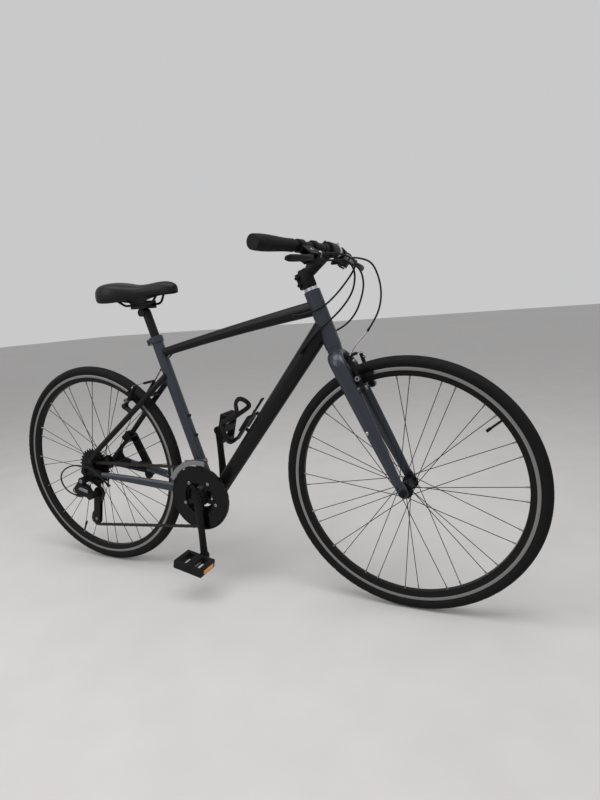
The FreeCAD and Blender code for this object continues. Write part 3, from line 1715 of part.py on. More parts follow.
def chainrings():
    outer_line = chain_line
    middle_line = chain_line - s.ring_step
    inner_line = chain_line - s.ring_step * 2
    outer = cut(
        disc("outer_ring", seat_radius(s.ring_teeth), s.ring_thickness, beside(outer_line), Y),
        disc("outer_ring_bore", s.ring_bore_radius, s.ring_thickness * 2, beside(outer_line), Y),
    )
    middle = toothed(
        "middle_ring", s.middle_ring_teeth, s.ring_thickness, s.middle_ring_bore_radius, beside(middle_line)
    )
    inner = toothed(
        "inner_ring", s.inner_ring_teeth, s.ring_thickness, s.inner_ring_bore_radius, beside(inner_line)
    )
    bolts = []
    for n in range(int(float(s.spider_arms))):
        way = crank_turned(n)
        for circle_radius, start, end in (
            (s.ring_bolt_circle, middle_line - s.ring_thickness, ring_face),
            (s.inner_bolt_circle, inner_line - s.ring_thickness, middle_line),
        ):
            out = way * float(circle_radius)
            bolts.append(rod("ring_bolt", s.ring_bolt_radius, beside(start) + out, beside(end) + out))
    node("chainrings", fuse(outer, middle, inner, *bolts))


def chain_guard():
    half = s.guard_thickness / 2
    lip_start = s.guard_radius - s.guard_lip_width
    profile = [
        (s.guard_bore_radius, -half),
        (s.guard_radius, -half),
        (s.guard_radius, half + s.guard_lip),
        (lip_start, half + s.guard_lip),
        (lip_start - s.guard_lip, half),
        (s.guard_bore_radius, half),
    ]
    node("chain_guard", turned("guard_turned", [profile], facing(beside(s.guard_line), Y * -1)))


def crank_arm(name):
    side = SIDES[name]
    way = crank_way if name == "right" else crank_way * -1
    root = bracket + Y * (side * float(s.crank_root_side))
    eye = bracket + way * float(s.crank_length) + Y * (side * float(s.crank_eye_side))
    middle = (root + eye) / 2
    deep = way.cross(Y)
    arm = loft(
        f"crank_{name}",
        [
            (root, way, deep, s.crank_boss_width, s.crank_thickness),
            (middle, way, deep, s.crank_middle_width, s.crank_thickness),
            (eye, way, deep, s.crank_eye_width, s.crank_thickness),
        ],
    )
    boss = disc("crank_boss", s.crank_boss_width / 2, s.crank_thickness, root, Y)
    end = disc("crank_eye", s.crank_eye_width / 2, s.crank_thickness, eye, Y)
    cap_centre = root + Y * (side * float(s.crank_thickness / 2 + s.crank_bolt_height / 2))
    cap = disc("crank_bolt", s.crank_bolt_radius, s.crank_bolt_height, cap_centre, Y)
    axle_end = pedal_start + s.pedal_width + s.rest_gap
    axle = rod("pedal_axle", s.pedal_axle_radius, eye, pedal_point(name, axle_end))
    return [arm, boss, end, cap, axle]


pedal_start = s.crank_eye_side + s.crank_thickness / 2 + s.pedal_gap


def pedal_point(name, side):
    way = crank_way if name == "right" else crank_way * -1
    return bracket + way * float(s.crank_length) + Y * (SIDES[name] * float(side))


def crank_arms():
    solids = crank_arm("right") + crank_arm("left")
    solids.append(disc("spindle", s.spindle_radius, s.crank_root_side * 2, bracket, Y))
    boss_start = beside(s.crank_root_side - s.spider_boss_depth)
    solids.append(rod("spider_boss", s.spider_boss_radius, boss_start, beside(s.crank_root_side)))
    thickness = guard_face - ring_face
    centre_line = (guard_face + ring_face) / 2
    for n in range(int(float(s.spider_arms))):
        way = crank_turned(n)
        centre = beside(centre_line) + way * float(s.spider_radius / 2)
        solids.append(block("spider_arm", s.spider_radius, s.spider_width, thickness, centre, Y, way))
    node("crank_arms", fuse(*solids))


# Pedals
def pedals():
    tilts = {"right": s.right_pedal_tilt_angle, "left": s.left_pedal_tilt_angle}
    for name in SIDES:
        tilt = FreeCAD.Rotation(Y, float(tilts[name]))
        fore = tilt.multVec(X)
        up = tilt.multVec(Z)
        centre = pedal_point(name, pedal_start + s.pedal_width / 2)
        body = block(f"pedal_{name}_block", s.pedal_length, s.pedal_width, s.pedal_height, centre, up, fore)
        opening = s.pedal_length / 2 - s.pedal_rail - s.pedal_barrel_radius
        width = s.pedal_width - s.pedal_end * 2
        gaps = []
        reflectors = []
        for way in (-1, 1):
            gap_centre = centre + fore * (way * float(s.pedal_barrel_radius + opening / 2))
            gaps.append(block("pedal_gap_solid", opening, width, s.pedal_height * 2, gap_centre, up, fore))
            face = centre + fore * (way * float(s.pedal_length / 2 + s.reflector_thickness / 2))
            sizes = (s.reflector_thickness, s.reflector_width, s.reflector_height)
            reflectors.append(block("pedal_reflector", *sizes, face, up, fore))
        bore_radius = s.pedal_axle_radius + s.running_clearance
        bore = disc("pedal_bore", bore_radius, s.pedal_width * 2, centre, Y)
        frame = cut(body, *gaps, bore)
        node(f"pedal_{name}", group(f"pedal_{name}_set", frame, *reflectors))


# Chain
def chain_points():
    """The pins of a whole chain round the rings, and the spacing that closes the loop."""
    wheels_round = [
        (bracket, float(pitch_radius(s.ring_teeth)), 1),
        (rear_axle, float(pitch_radius(COG_TEETH[round(float(s.chain_cog))])), 1),
        (upper_pulley_centre, float(pitch_radius(s.pulley_teeth)), -1),
        (lower_pulley_centre, float(pitch_radius(s.pulley_teeth)), 1),
    ]
    circles = [(complex(centre.x, centre.z), radius * turn, turn) for centre, radius, turn in wheels_round]
    tangents = []
    for (start, first, _), (end, second, _) in zip(circles, circles[1:] + circles[:1]):
        span = end - start
        way = span / abs(span) * cmath.exp(1j * math.asin((first - second) / abs(span)))
        tangents.append((start - first * way * 1j, end - second * way * 1j))
    runs = []
    for n, (leave, reach) in enumerate(tangents):
        runs.append((abs(reach - leave), leave, reach, None, 0))
        centre, radius, turn = circles[(n + 1) % len(circles)]
        onward = tangents[(n + 1) % len(circles)][0]
        sweep = cmath.phase((onward - centre) / (reach - centre)) * turn % (2 * math.pi) * turn
        runs.append((abs(radius * sweep), reach, onward, centre, sweep))
    total = sum(run[0] for run in runs)
    count = 2 * round(total / float(s.link_pitch) / 2)
    points = []
    for n in range(count):
        left = total * n / count
        for length, start, end, centre, sweep in runs:
            if left <= length:
                break
            left -= length
        share = left / length
        if centre is None:
            spot = start + (end - start) * share
        else:
            spot = centre + (start - centre) * cmath.exp(1j * sweep * share)
        points.append(Vector(spot.real, -float(chain_line), spot.imag))
    return points


def link_plate(length, offset):
    """One rounded plate of a link, at a distance to the side of the chain's line."""
    radius = float(s.link_plate_height) / 2
    low = offset - float(s.link_plate_thickness) / 2
    ends = [Vector(-length / 2, low, 0), Vector(length / 2, low, 0)]
    edges = []
    for end, turn in zip(ends, (-1, 1)):
        edges.append(
            Part.Arc(end - Z * radius * turn, end + X * (radius * turn), end + Z * radius * turn).toShape()
        )
    edges.append(Part.LineSegment(ends[0] - Z * radius, ends[1] - Z * radius).toShape())
    edges.append(Part.LineSegment(ends[0] + Z * radius, ends[1] + Z * radius).toShape())
    return Part.Face(Part.Wire(Part.__sortEdges__(edges))).extrude(Y * float(s.link_plate_thickness))


def link_shape(length, outer):
    """An inner link carries the rollers and an outer link the pins through them."""
    half = float(s.link_inner_width / 2 + s.link_plate_thickness / 2)
    if outer:
        half += float(s.link_plate_thickness + s.running_clearance)
    plates = [link_plate(length, side * half) for side in SIDES.values()]
    pin = float(s.link_pin_radius)
    reach = half + float(s.link_plate_thickness) / 2
    core = pin if outer else float(s.roller_radius)
    ends = [Vector(-length / 2, -reach, 0), Vector(length / 2, -reach, 0)]
    shape = plates[0].multiFuse([plates[1]] + [Part.makeCylinder(core, reach * 2, end, Y) for end in ends])
    if not outer:
        bore = pin + float(s.rest_gap)
        shape = shape.cut(Part.makeCompound([Part.makeCylinder(bore, reach * 2, end, Y) for end in ends]))
    return shape


def chain():
    points = chain_points()
    links = []
    shapes = {}
    for n, (start, end) in enumerate(zip(points, points[1:] + points[:1])):
        length = (end - start).Length
        key = (round(length, 2), n % 2)
        if key not in shapes:
            shapes[key] = link_shape(length, n % 2 == 1)
        link = shapes[key].copy()
        link.Placement = facing((start + end) / 2, Y.cross(end - start) * -1, end - start)
        links.append(link)
    item = doc.addObject("Part::Feature", "chain_links")
    item.Shape = Part.makeCompound(links)
    node("chain", item)


# Derailleurs
hanger = rear_axle + X * float(s.hanger_fore) - Z * float(s.hanger_drop)
hanger_face = s.rear_spacing / 2 + s.dropout_thickness
cage_face = chain_line + s.cage_plate_gap / 2 + s.cage_plate_thickness / 2
link_end = rear_axle - X * float(s.link_arm_back) - Z * float(s.link_arm_drop)
pulley_axis = rear_axle + X * float(s.upper_pulley_fore) - Z * float(s.upper_pulley_drop)


def rear_derailleur():
    outer_face = hanger_face + s.knuckle_length
    arm_line = outer_face - s.link_arm_thickness / 2
    base = rod(
        "hanger_knuckle",
        s.knuckle_radius,
        hanger - Y * float(hanger_face),
        hanger - Y * float(outer_face),
    )
    pivot_end = rod(
        "cage_knuckle",
        s.knuckle_radius,
        pulley_axis - Y * float(cage_face),
        pulley_axis - Y * float(outer_face),
    )
    solids = [base, pivot_end]
    for start, end in ((hanger, link_end), (link_end, pulley_axis)):
        way = unit(end - start)
        centre = (start + end) / 2 - Y * float(arm_line)
        length = (end - start).Length
        sizes = (length, s.link_arm_width, s.link_arm_thickness)
        solids.append(block("derailleur_arm", *sizes, centre, Y, way))
    joint = link_end - Y * float(arm_line)
    solids.append(disc("derailleur_joint", s.link_arm_width / 2, s.link_arm_thickness, joint, Y))
    adjuster_start = REAR_LOOP[-1]
    adjuster_end = adjuster_start + unit(REAR_LOOP[-1] - REAR_LOOP[-2]) * float(s.barrel_length)
    solids.append(rod("cable_adjuster", s.barrel_radius, adjuster_start, adjuster_end))
    arm_middle = (link_end + pulley_axis) / 2 - Y * float(arm_line)
    solids.append(rod("adjuster_arm", s.barrel_radius, adjuster_end, arm_middle))
    node("rear_derailleur", fuse(*solids))


def rear_derailleur_cage():
    span = lower_pulley_centre - upper_pulley_centre
    middle = (upper_pulley_centre + lower_pulley_centre) / 2
    solids = []
    for side in (-1, 1):
        offset = Y * (side * float(s.cage_plate_gap / 2))
        sizes = (span.Length, s.cage_plate_width, s.cage_plate_thickness)
        solids.append(block("cage_plate", *sizes, middle + offset, Y, span))
        for centre in (upper_pulley_centre, lower_pulley_centre):
            end_centre = centre + offset
            solids.append(disc("cage_end", s.cage_plate_width / 2, s.cage_plate_thickness, end_centre, Y))
    for centre in (upper_pulley_centre, lower_pulley_centre):
        solids.append(disc("pulley_pin", s.pulley_pin_radius, s.cage_plate_gap, centre, Y))
    node("rear_derailleur_cage", fuse(*solids))


def pulleys():
    hub_width = s.cage_plate_gap - s.cage_plate_thickness - s.rest_gap * 2
    for name, centre in (("upper_pulley", upper_pulley_centre), ("lower_pulley", lower_pulley_centre)):
        wheel = disc(f"{name}_wheel", seat_radius(s.pulley_teeth), s.pulley_thickness, centre, Y)
        core = disc(f"{name}_hub", s.pulley_hub_radius, hub_width, centre, Y)
        bore = disc(f"{name}_bore", s.pulley_pin_radius + s.running_clearance, hub_width * 2, centre, Y)
        node(name, cut(fuse(wheel, core), bore))


def cage_sector(name, inner, depth, line):
    """A curved plate over the outer ring, part of a flat ring about the crank's axis."""
    start = radial(float(s.front_mech_cage_start))
    half = Y * float(s.front_mech_cage_thickness / 2)
    edge = Part.LineSegment(start * float(inner), start * float(inner + depth)).toShape()
    face = edge.revolve(Vector(), Y * -1, float(s.front_mech_cage_sweep))
    item = doc.addObject("Part::Feature", name)
    item.Shape = face.translated(half * -1).extrude(half * 2)
    item.Placement = FreeCAD.Placement(beside(line), FreeCAD.Rotation())
    return item


def front_derailleur():
    centre = seat(s.front_mech_band_height)
    half = seat_up * float(s.front_mech_band_width / 2)
    outer = s.seat_tube_radius + s.front_mech_band_wall
    band = rod("mech_band", outer, centre - half, centre + half)
    inner = pitch_radius(s.ring_teeth) + s.link_plate_height / 2 + s.front_mech_cage_clearance
    lines = (chain_line - s.front_mech_cage_gap / 2, chain_line + s.front_mech_cage_gap / 2)
    plates = [cage_sector("mech_cage", inner, s.front_mech_cage_depth, line) for line in lines]
    angle = float(s.front_mech_cage_start + s.front_mech_cage_sweep / 2)
    over = bracket + radial(angle) * float(inner + s.front_mech_cage_depth)
    bridge_width = lines[1] - lines[0] + s.front_mech_cage_thickness
    bridge = block(
        "mech_bridge",
        s.front_mech_arm_width,
        s.front_mech_arm_thickness / 2,
        bridge_width,
        over - Y * float(chain_line),
        Y,
        radial(angle).cross(Y),
    )
    arm_way = over - Y * float(lines[0]) - centre
    arm = block(
        "mech_arm",
        s.front_mech_arm_width,
        s.front_mech_arm_thickness,
        arm_way.Length,
        centre + arm_way / 2,
        arm_way,
        X,
    )
    node("front_derailleur", cut(fuse(band, arm, bridge, *plates), whole_seat_tube()))


# Rim brake arms with their pads
def brake_arm(end, name):
    axle = BRAKES[end][0]
    _, up, out = brake_frame(end)
    side = SIDES[name]
    pivot = on_arm(end, name, 0)
    top = on_arm(end, name, s.brake_arm_length)
    way = unit(top - pivot)
    arm = loft(
        f"{end}_arm_{name}",
        [
            (pivot, way, Y, s.brake_arm_width, s.brake_arm_thickness),
            (top, way, Y, s.brake_arm_top_width, s.brake_arm_thickness),
        ],
    )
    eye = disc("arm_eye", s.brake_eye_radius, s.brake_arm_thickness, pivot, out)
    foot = Vector(pivot.x, 0, pivot.z)
    spot = on_line(axle, foot, foot + up, s.rim_radius - s.rim_track_depth / 2)
    arm_side = s.brake_pivot_side + s.brake_arm_splay * ((spot - foot).Length / float(s.brake_arm_length))
    pad_face = s.rim_width / 2 + s.pad_gap
    pad_back = pad_face + s.pad_thickness
    arm_face = arm_side + s.brake_arm_width / 2

    def beside_rim(distance):
        return spot + Y * (side * float(distance))

    stud = rod("pad_stud", s.pad_stud_radius, beside_rim(pad_back), beside_rim(arm_face + s.pad_nut_length))
    nut = rod("pad_nut", s.pad_nut_radius, beside_rim(arm_side), beside_rim(arm_face + s.pad_nut_length))
    washer_end = beside_rim(pad_back + s.pad_nut_length / 2)
    washer = rod("pad_washer", s.pad_nut_radius, beside_rim(arm_side), washer_end)
    bore_half = out * float(s.brake_arm_thickness)
    bore_radius = s.brake_stud_radius + s.running_clearance
    bore = rod("arm_bore", bore_radius, pivot - bore_half, pivot + bore_half)
    tangent = unit(spot - axle).cross(Y)
    sizes = (s.pad_length, s.pad_height, s.pad_thickness)
    pad = block("brake_pad", *sizes, beside_rim((pad_face + pad_back) / 2), Y, tangent)
    arm_solid = cut(fuse(arm, eye, stud, nut, washer), bore)
    node(f"{end}_brake_arm_{name}", group(f"{end}_{name}_arm_and_pad", arm_solid, pad))


def brake_arms():
    for end in BRAKES:
        for name in SIDES:
            brake_arm(end, name)


# Kickstand on the left stays
kick_fold_way = Vector(-math.cos(degrees(s.kick_fold_angle)), 0, math.sin(degrees(s.kick_fold_angle)))
kick_stand_way = unit(
    Vector(
        math.sin(degrees(s.kick_lean_angle)),
        math.sin(degrees(s.kick_splay_angle)),
        -math.cos(degrees(s.kick_splay_angle)),
    )
)
kick_axis = unit(kick_fold_way.cross(kick_stand_way))
kick_pivot = rear_axle + Vector(float(s.kick_pivot_fore), float(s.kick_leg_side), -float(s.kick_pivot_drop))


def stay_clamp(name, stay, place, way, depth, width):
    """A clamp block round the left stay, cut to the stay's own shape and reaching out to the strut."""
    centre = place + Y * float(stay_end_side - s.kick_clamp_wall)
    sizes = (s.kick_clamp_length, depth + s.kick_clamp_wall * 2, width + s.kick_clamp_wall * 4)
    return cut(block(name, *sizes, centre, Y, way), stay)


def kickstand_bracket():
    top_way = unit(stay_top - stay_end)
    low_way = unit(bracket - chain_end)
    top = stay_end + top_way * float(s.kick_top_place)
    low = chain_end + low_way * float(s.kick_low_place)
    seat_sizes = (s.seatstay_depth, s.seatstay_width)
    chain_sizes = (s.chainstay_back_depth, s.chainstay_back_width)
    top_clamp = stay_clamp("kick_top_clamp", seatstay_solid("left"), top, top_way, *seat_sizes)
    low_clamp = stay_clamp("kick_low_clamp", chainstay_solid("left"), low, low_way, *chain_sizes)
    outward = kick_axis * -1
    foot = kick_pivot - outward * float((s.kick_leg_side - s.kick_side) / outward.y)
    solids = [top_clamp, low_clamp]
    strut_end = Vector(foot.x, 0, foot.z)
    for start, end in ((top, low), (low, strut_end)):
        way = unit(end - start)
        centre = (start + end) / 2 + Y * float(s.kick_side)
        sizes = ((end - start).Length, s.kick_bracket_width, s.kick_bracket_thickness)
        solids.append(block("kick_strut", *sizes, centre, Y, way))
    for place in (low, strut_end):
        centre = place + Y * float(s.kick_side)
        solids.append(disc("kick_strut_end", s.kick_bracket_width / 2, s.kick_bracket_thickness, centre, Y))
    inner = s.kick_eye_thickness / 2 + s.kick_pivot_gap
    cap_start = kick_pivot + outward * float(inner)
    cap_end = cap_start + outward * float(s.kick_cap_height)
    solids.append(rod("kick_boss", s.kick_boss_radius, foot, kick_pivot - outward * float(inner)))
    solids.append(rod("kick_pin", s.kick_pivot_radius, foot, cap_end))
    solids.append(rod("kick_cap", s.kick_cap_radius, cap_start, cap_end))
    node("kickstand_bracket", fuse(*solids))


def kickstand_leg():
    tip = kick_pivot + kick_fold_way * float(s.kick_leg_length)
    heel = tip - kick_fold_way * float(s.kick_foot_length)
    eye = disc("kick_eye", s.kick_eye_radius, s.kick_eye_thickness, kick_pivot, kick_axis)
    leg = rod("kick_leg", s.kick_leg_radius, kick_pivot, tip)
    foot = rod("kick_foot", s.kick_foot_radius, heel, tip)
    bore_radius = s.kick_pivot_radius + s.running_clearance
    bore = disc("kick_bore", bore_radius, s.kick_eye_thickness * 2, kick_pivot, kick_axis)
    node("kickstand_leg", cut(fuse(eye, leg, foot), bore))


# Bottle cage and small fittings
def down(along, lift=0, side=0):
    return down_start + down_way * float(along) + down_lift * float(lift) + Y * float(side)


down_length = (down_end - down_start).Length


def down_half_depth(along):
    share = float(along) / down_length
    return s.down_tube_bottom_depth / 2 * (1 - share) + s.down_tube_head_depth / 2 * share


plate_low = down_half_depth(s.cage_place) + s.cage_standoff
plate_high = plate_low + s.cage_thickness


def bottle_cage():
    plate_lift = (plate_low + plate_high) / 2
    back_sizes = (s.cage_length, s.cage_width, s.cage_thickness)
    back = block("cage_back", *back_sizes, down(s.cage_place, plate_lift), down_lift, down_way)
    foot = s.cage_place - s.cage_length / 2 - s.cage_thickness / 2
    shelf_top = plate_high + s.shelf_length
    shelf = block(
        "cage_shelf",
        s.cage_thickness,
        s.shelf_width,
        shelf_top - plate_low,
        down(foot, (shelf_top + plate_low) / 2),
        down_lift,
        down_way,
    )
    hoop_place = s.cage_place + s.cage_length / 2 - s.hoop_radius * 2
    hoop_lift = plate_high + s.bottle_radius
    hoop_size = s.bottle_radius + s.bottle_gap + s.hoop_radius
    hoop = doc.addObject("Part::Torus", "cage_hoop")
    bind(hoop, "Radius1", hoop_size)
    bind(hoop, "Radius2", s.hoop_radius)
    hoop.Placement = facing(down(hoop_place, hoop_lift), down_way)
    wires = []
    for side in SIDES.values():
        start = down(foot, shelf_top - s.hoop_radius, s.shelf_width * side / 2 - s.hoop_radius * side)
        end = down(hoop_place, hoop_lift, hoop_size * side)
        wires.append(rod("cage_wire", s.hoop_radius * CAGE_WIRE_SHARE, start, end))
    node("bottle_cage", fuse(back, shelf, hoop, *wires))


def boss_and_bolt(name, foot, way, seat_height, bolt_start, tube):
    boss = cut(rod(f"{name}_boss", s.cage_boss_radius, foot, foot + way * float(seat_height)), tube)
    head = rod(
        f"{name}_bolt",
        s.cage_bolt_radius,
        foot + way * float(bolt_start),
        foot + way * float(bolt_start + s.cage_bolt_height),
    )
    return [boss, head]


def cable_stop(name, route, tube_point, tube):
    """A stop that takes a housing's end, standing on the tube beside it."""
    way = unit(route[-1] - route[-2])
    end = route[-1] + way * float(s.stop_length)
    barrel = rod(f"{name}_stop", s.stop_radius, route[-1], end)
    middle = (route[-1] + end) / 2
    foot = rod(f"{name}_stop_foot", s.stop_radius / 2, middle, tube_point)
    return cut(fuse(barrel, foot), tube)


def frame_fittings():
    solids = []
    for way in (-1, 1):
        along = s.cage_place + s.cage_boss_spread * way / 2
        solids += boss_and_bolt("cage", down(along), down_lift, plate_low, plate_high, down_tube_solid())
        up = s.seat_boss_low + s.cage_boss_spread * (way + 1) / 2
        height = s.seat_tube_radius + s.boss_bolt_height / 2
        solids += boss_and_bolt("seat", seat(up), seat_fore, height, height, whole_seat_tube())
    for name, route, tube_point, tube in cable_ends():
        solids.append(cable_stop(name, route, tube_point, tube))
    node("frame_fittings", group("fitting_set", *solids))


# Cables: housings to the ports where they go inside the tubes, noodles, boots and bare ends
def nearest_on(start, end, point):
    way = unit(end - start)
    return start + way * (point - start).dot(way)


def right_chainstay_solid():
    return chainstay_solid("right")


def cable_ends():
    top_line = (seat(s.top_tube_seat_height), steer(crown_height + s.top_tube_head_height))
    down_line = (down_start, down_end)
    stay_line = (chain_end - Y * float(stay_end_side), bracket - Y * float(s.chainstay_front_side))
    rows = [
        ("rear_brake_front", REAR_BRAKE_FRONT, top_line, top_tube_solid),
        ("rear_brake_back", REAR_BRAKE_BACK[::-1], top_line, top_tube_solid),
        ("right_shift", RIGHT_SHIFT, down_line, down_tube_solid),
        ("left_shift", LEFT_SHIFT, down_line, down_tube_solid),
        ("rear_loop", REAR_LOOP[::-1], stay_line, right_chainstay_solid),
    ]
    return [(name, route, nearest_on(*line, route[-1]), tube()) for name, route, line, tube in rows]


def cord(name, radius, points):
    """A tube along a route, with its bend radii and its volume set against its length."""
    item = pipe(name, radius, points)
    wire, radii = rounded(points)
    cord_checks.append((name, item, wire.Length * math.pi * float(radius) ** 2, radii))
    return item


def over_arm(end, name):
    """The place just past a brake arm's top that the cable runs through."""
    return on_arm(end, name, s.brake_arm_length + s.boot_radius + s.rest_gap * 2)


def brake_end(end, housing, noodle, near, far):
    """The last of a brake's cable: housing, noodle to the near arm, boot and bare cable to the far arm."""
    start = over_arm(end, near)
    finish = over_arm(end, far)
    tail = unit(finish - start) * float(s.bare_cable_tail)
    return fuse(
        cord(f"{end}_brake_end_housing", s.housing_radius, housing),
        cord(f"{end}_noodle", s.noodle_radius, noodle + [start]),
        rod(f"{end}_boot", s.boot_radius, start, start + (finish - start) * BOOT_SHARE),
        rod(f"{end}_bare_cable", s.bare_cable_radius, start, finish + tail),
    )


def cables():
    housings = [
        cord("rear_brake_housing", s.housing_radius, REAR_BRAKE_FRONT),
        cord("right_shift_housing", s.housing_radius, RIGHT_SHIFT),
        cord("left_shift_housing", s.housing_radius, LEFT_SHIFT),
        cord("rear_loop_housing", s.housing_radius, REAR_LOOP),
        brake_end("rear", REAR_BRAKE_BACK, REAR_NOODLE, "left", "right"),
    ]
    node("cable_housings", group("housing_set", *housings))
    node("front_brake_cable", brake_end("front", FRONT_BRAKE, FRONT_NOODLE, "right", "left"))


BUILDS = (
    head_tube,
    top_tube,
    down_tube,
    seat_tube,
    bottom_bracket,
    chainstays,
    seatstays,
    dropouts,
    seat_clamp,
    seatpost,
    saddle_rails,
    saddle,
    fork_crown,
    fork_blades,
    headset_spacers,
    stem,
    handlebar,
    grips,
    brake_brackets,
    brake_levers,
    shifter_pods,
    shift_levers,
    bell,
    wheels,
    cassette,
    chainrings,
    chain_guard,
    crank_arms,
    pedals,
    chain,
    rear_derailleur,
    rear_derailleur_cage,
    pulleys,
    front_derailleur,
    brake_arms,
    kickstand_bracket,
    kickstand_leg,
    bottle_cage,
    frame_fittings,
    cables,
)
for build in BUILDS:
    build()


# Write each sub-part
doc.recompute()
for item in doc.Objects:
    if "Invalid" in item.State or "Error" in item.State:
        raise RuntimeError(f"{item.Name} ({item.Label}) failed: {item.State}")
for label, item in nodes.items():
    if item.Shape.isNull() or not item.Shape.isValid() or not item.Shape.Solids:
        raise RuntimeError(f"{label} has no valid solid")
os.makedirs("parts", exist_ok=True)
for label, item in nodes.items():
    item.Shape.exportStep(f"parts/{label}.step")
    print(label, len(item.Shape.Solids), round(item.Shape.Volume))
for name, item, volume, radii in cord_checks:
    print(name, "bend radii", radii, "volume to section times length", round(item.Shape.Volume / volume, 3))
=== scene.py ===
import math
import bmesh
import bpy
from mathutils import Matrix, Vector


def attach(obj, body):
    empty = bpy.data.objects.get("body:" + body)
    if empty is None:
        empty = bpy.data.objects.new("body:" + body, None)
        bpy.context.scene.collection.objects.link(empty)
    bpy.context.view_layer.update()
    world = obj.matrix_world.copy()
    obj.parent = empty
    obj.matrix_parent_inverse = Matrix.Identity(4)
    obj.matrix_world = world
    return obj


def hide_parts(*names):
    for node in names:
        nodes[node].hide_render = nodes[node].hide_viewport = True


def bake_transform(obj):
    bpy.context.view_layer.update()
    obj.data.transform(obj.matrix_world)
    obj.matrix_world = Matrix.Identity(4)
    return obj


# A hybrid bicycle. Lengths here are millimetres in the shared frame; add_piece turns them into metres.
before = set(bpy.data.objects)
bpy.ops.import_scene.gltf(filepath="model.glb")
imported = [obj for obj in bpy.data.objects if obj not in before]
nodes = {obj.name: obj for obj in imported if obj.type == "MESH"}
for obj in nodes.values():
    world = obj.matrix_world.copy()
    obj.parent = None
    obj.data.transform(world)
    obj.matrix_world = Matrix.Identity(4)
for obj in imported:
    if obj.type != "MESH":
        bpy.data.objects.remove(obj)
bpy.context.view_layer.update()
MM = 0.001
X = Vector((1, 0, 0))
Y = Vector((0, 1, 0))
Z = Vector((0, 0, 1))
SIDES = {"right": -1, "left": 1}


def leaning(angle):
    """The way up that leans back by an angle in degrees, and the way forward square to it."""
    lean = math.radians(angle)
    return Vector((-math.sin(lean), 0, math.cos(lean))), Vector((math.cos(lean), 0, math.sin(lean)))


def radial(angle):
    """The way out from a wheel's middle at an angle in degrees above forward."""
    return X * math.cos(math.radians(angle)) + Z * math.sin(math.radians(angle))


# Places shared by several pieces
AXLE_HEIGHT = 343
HALF_WHEELBASE = 532
FRONT_AXLE = Vector((HALF_WHEELBASE, 0, AXLE_HEIGHT))
REAR_AXLE = Vector((-HALF_WHEELBASE, 0, AXLE_HEIGHT))
BRACKET = Vector((-84.14, 0, 282))
STEER_FOOT = Vector((484.7, 0, 326.8))
STEER_LEAN = 18.9
STEER_UP, STEER_FORE = leaning(STEER_LEAN)
BAR_CENTRE = Vector((358.8, 0, 960.3))


def steer(up, fore=0.0, side=0.0):
    """A place by its height up the steering axis, its distance in front of it and its side."""
    return STEER_FOOT + STEER_UP * up + STEER_FORE * fore + Y * side


# Materials: a fine grain for the colour and the bumps, a broad one for the sheen
BUMP_HEIGHT = 0.4 * MM
COAT_ROUGHNESS = 0.12
SHEEN_SHARES = (0.8, 1.2)
GRAIN_DETAIL = 4
BROAD_GRAIN_SHARE = 1 / 16
RAMP_SHARES = (0.3, 0.7)
COOL_TINT_SHARE = 1.05


def make_look(name, tones, rough, metal=0.0, grain=700, bump=0.0, coat=0.0, shine=0.5):
    material = bpy.data.materials.new(name)
    material.use_nodes = True
    tree = material.node_tree
    shader = tree.nodes["Principled BSDF"]
    shader.inputs["Metallic"].default_value = metal
    shader.inputs["Specular IOR Level"].default_value = shine
    shader.inputs["Coat Weight"].default_value = coat
    shader.inputs["Coat Roughness"].default_value = COAT_ROUGHNESS
    place = tree.nodes.new("ShaderNodeTexCoord")
    fine = tree.nodes.new("ShaderNodeTexNoise")
    fine.inputs["Scale"].default_value = grain
    fine.inputs["Detail"].default_value = GRAIN_DETAIL
    broad = tree.nodes.new("ShaderNodeTexNoise")
    broad.inputs["Scale"].default_value = grain * BROAD_GRAIN_SHARE
    ramp = tree.nodes.new("ShaderNodeValToRGB")
    for element, tone, share in zip(ramp.color_ramp.elements, tones, RAMP_SHARES):
        element.color = (*tone, 1)
        element.position = share
    sheen = tree.nodes.new("ShaderNodeMapRange")
    sheen.inputs["To Min"].default_value = rough * SHEEN_SHARES[0]
    sheen.inputs["To Max"].default_value = rough * SHEEN_SHARES[1]
    for noise in (fine, broad):
        tree.links.new(place.outputs["Object"], noise.inputs["Vector"])
    tree.links.new(fine.outputs["Fac"], ramp.inputs["Fac"])
    tree.links.new(ramp.outputs["Color"], shader.inputs["Base Color"])
    tree.links.new(broad.outputs["Fac"], sheen.inputs["Value"])
    tree.links.new(sheen.outputs["Result"], shader.inputs["Roughness"])
    if bump:
        bumps = tree.nodes.new("ShaderNodeBump")
        bumps.inputs["Strength"].default_value = bump
        bumps.inputs["Distance"].default_value = BUMP_HEIGHT
        tree.links.new(fine.outputs["Fac"], bumps.inputs["Height"])
        tree.links.new(bumps.outputs["Normal"], shader.inputs["Normal"])
    return material


def grey(low, high, tint=COOL_TINT_SHARE):
    """The dark and light tones of a near-neutral grain; a tint over 1 leans to blue, under 1 to yellow."""
    return (low, low, low * tint), (high, high, high * tint)


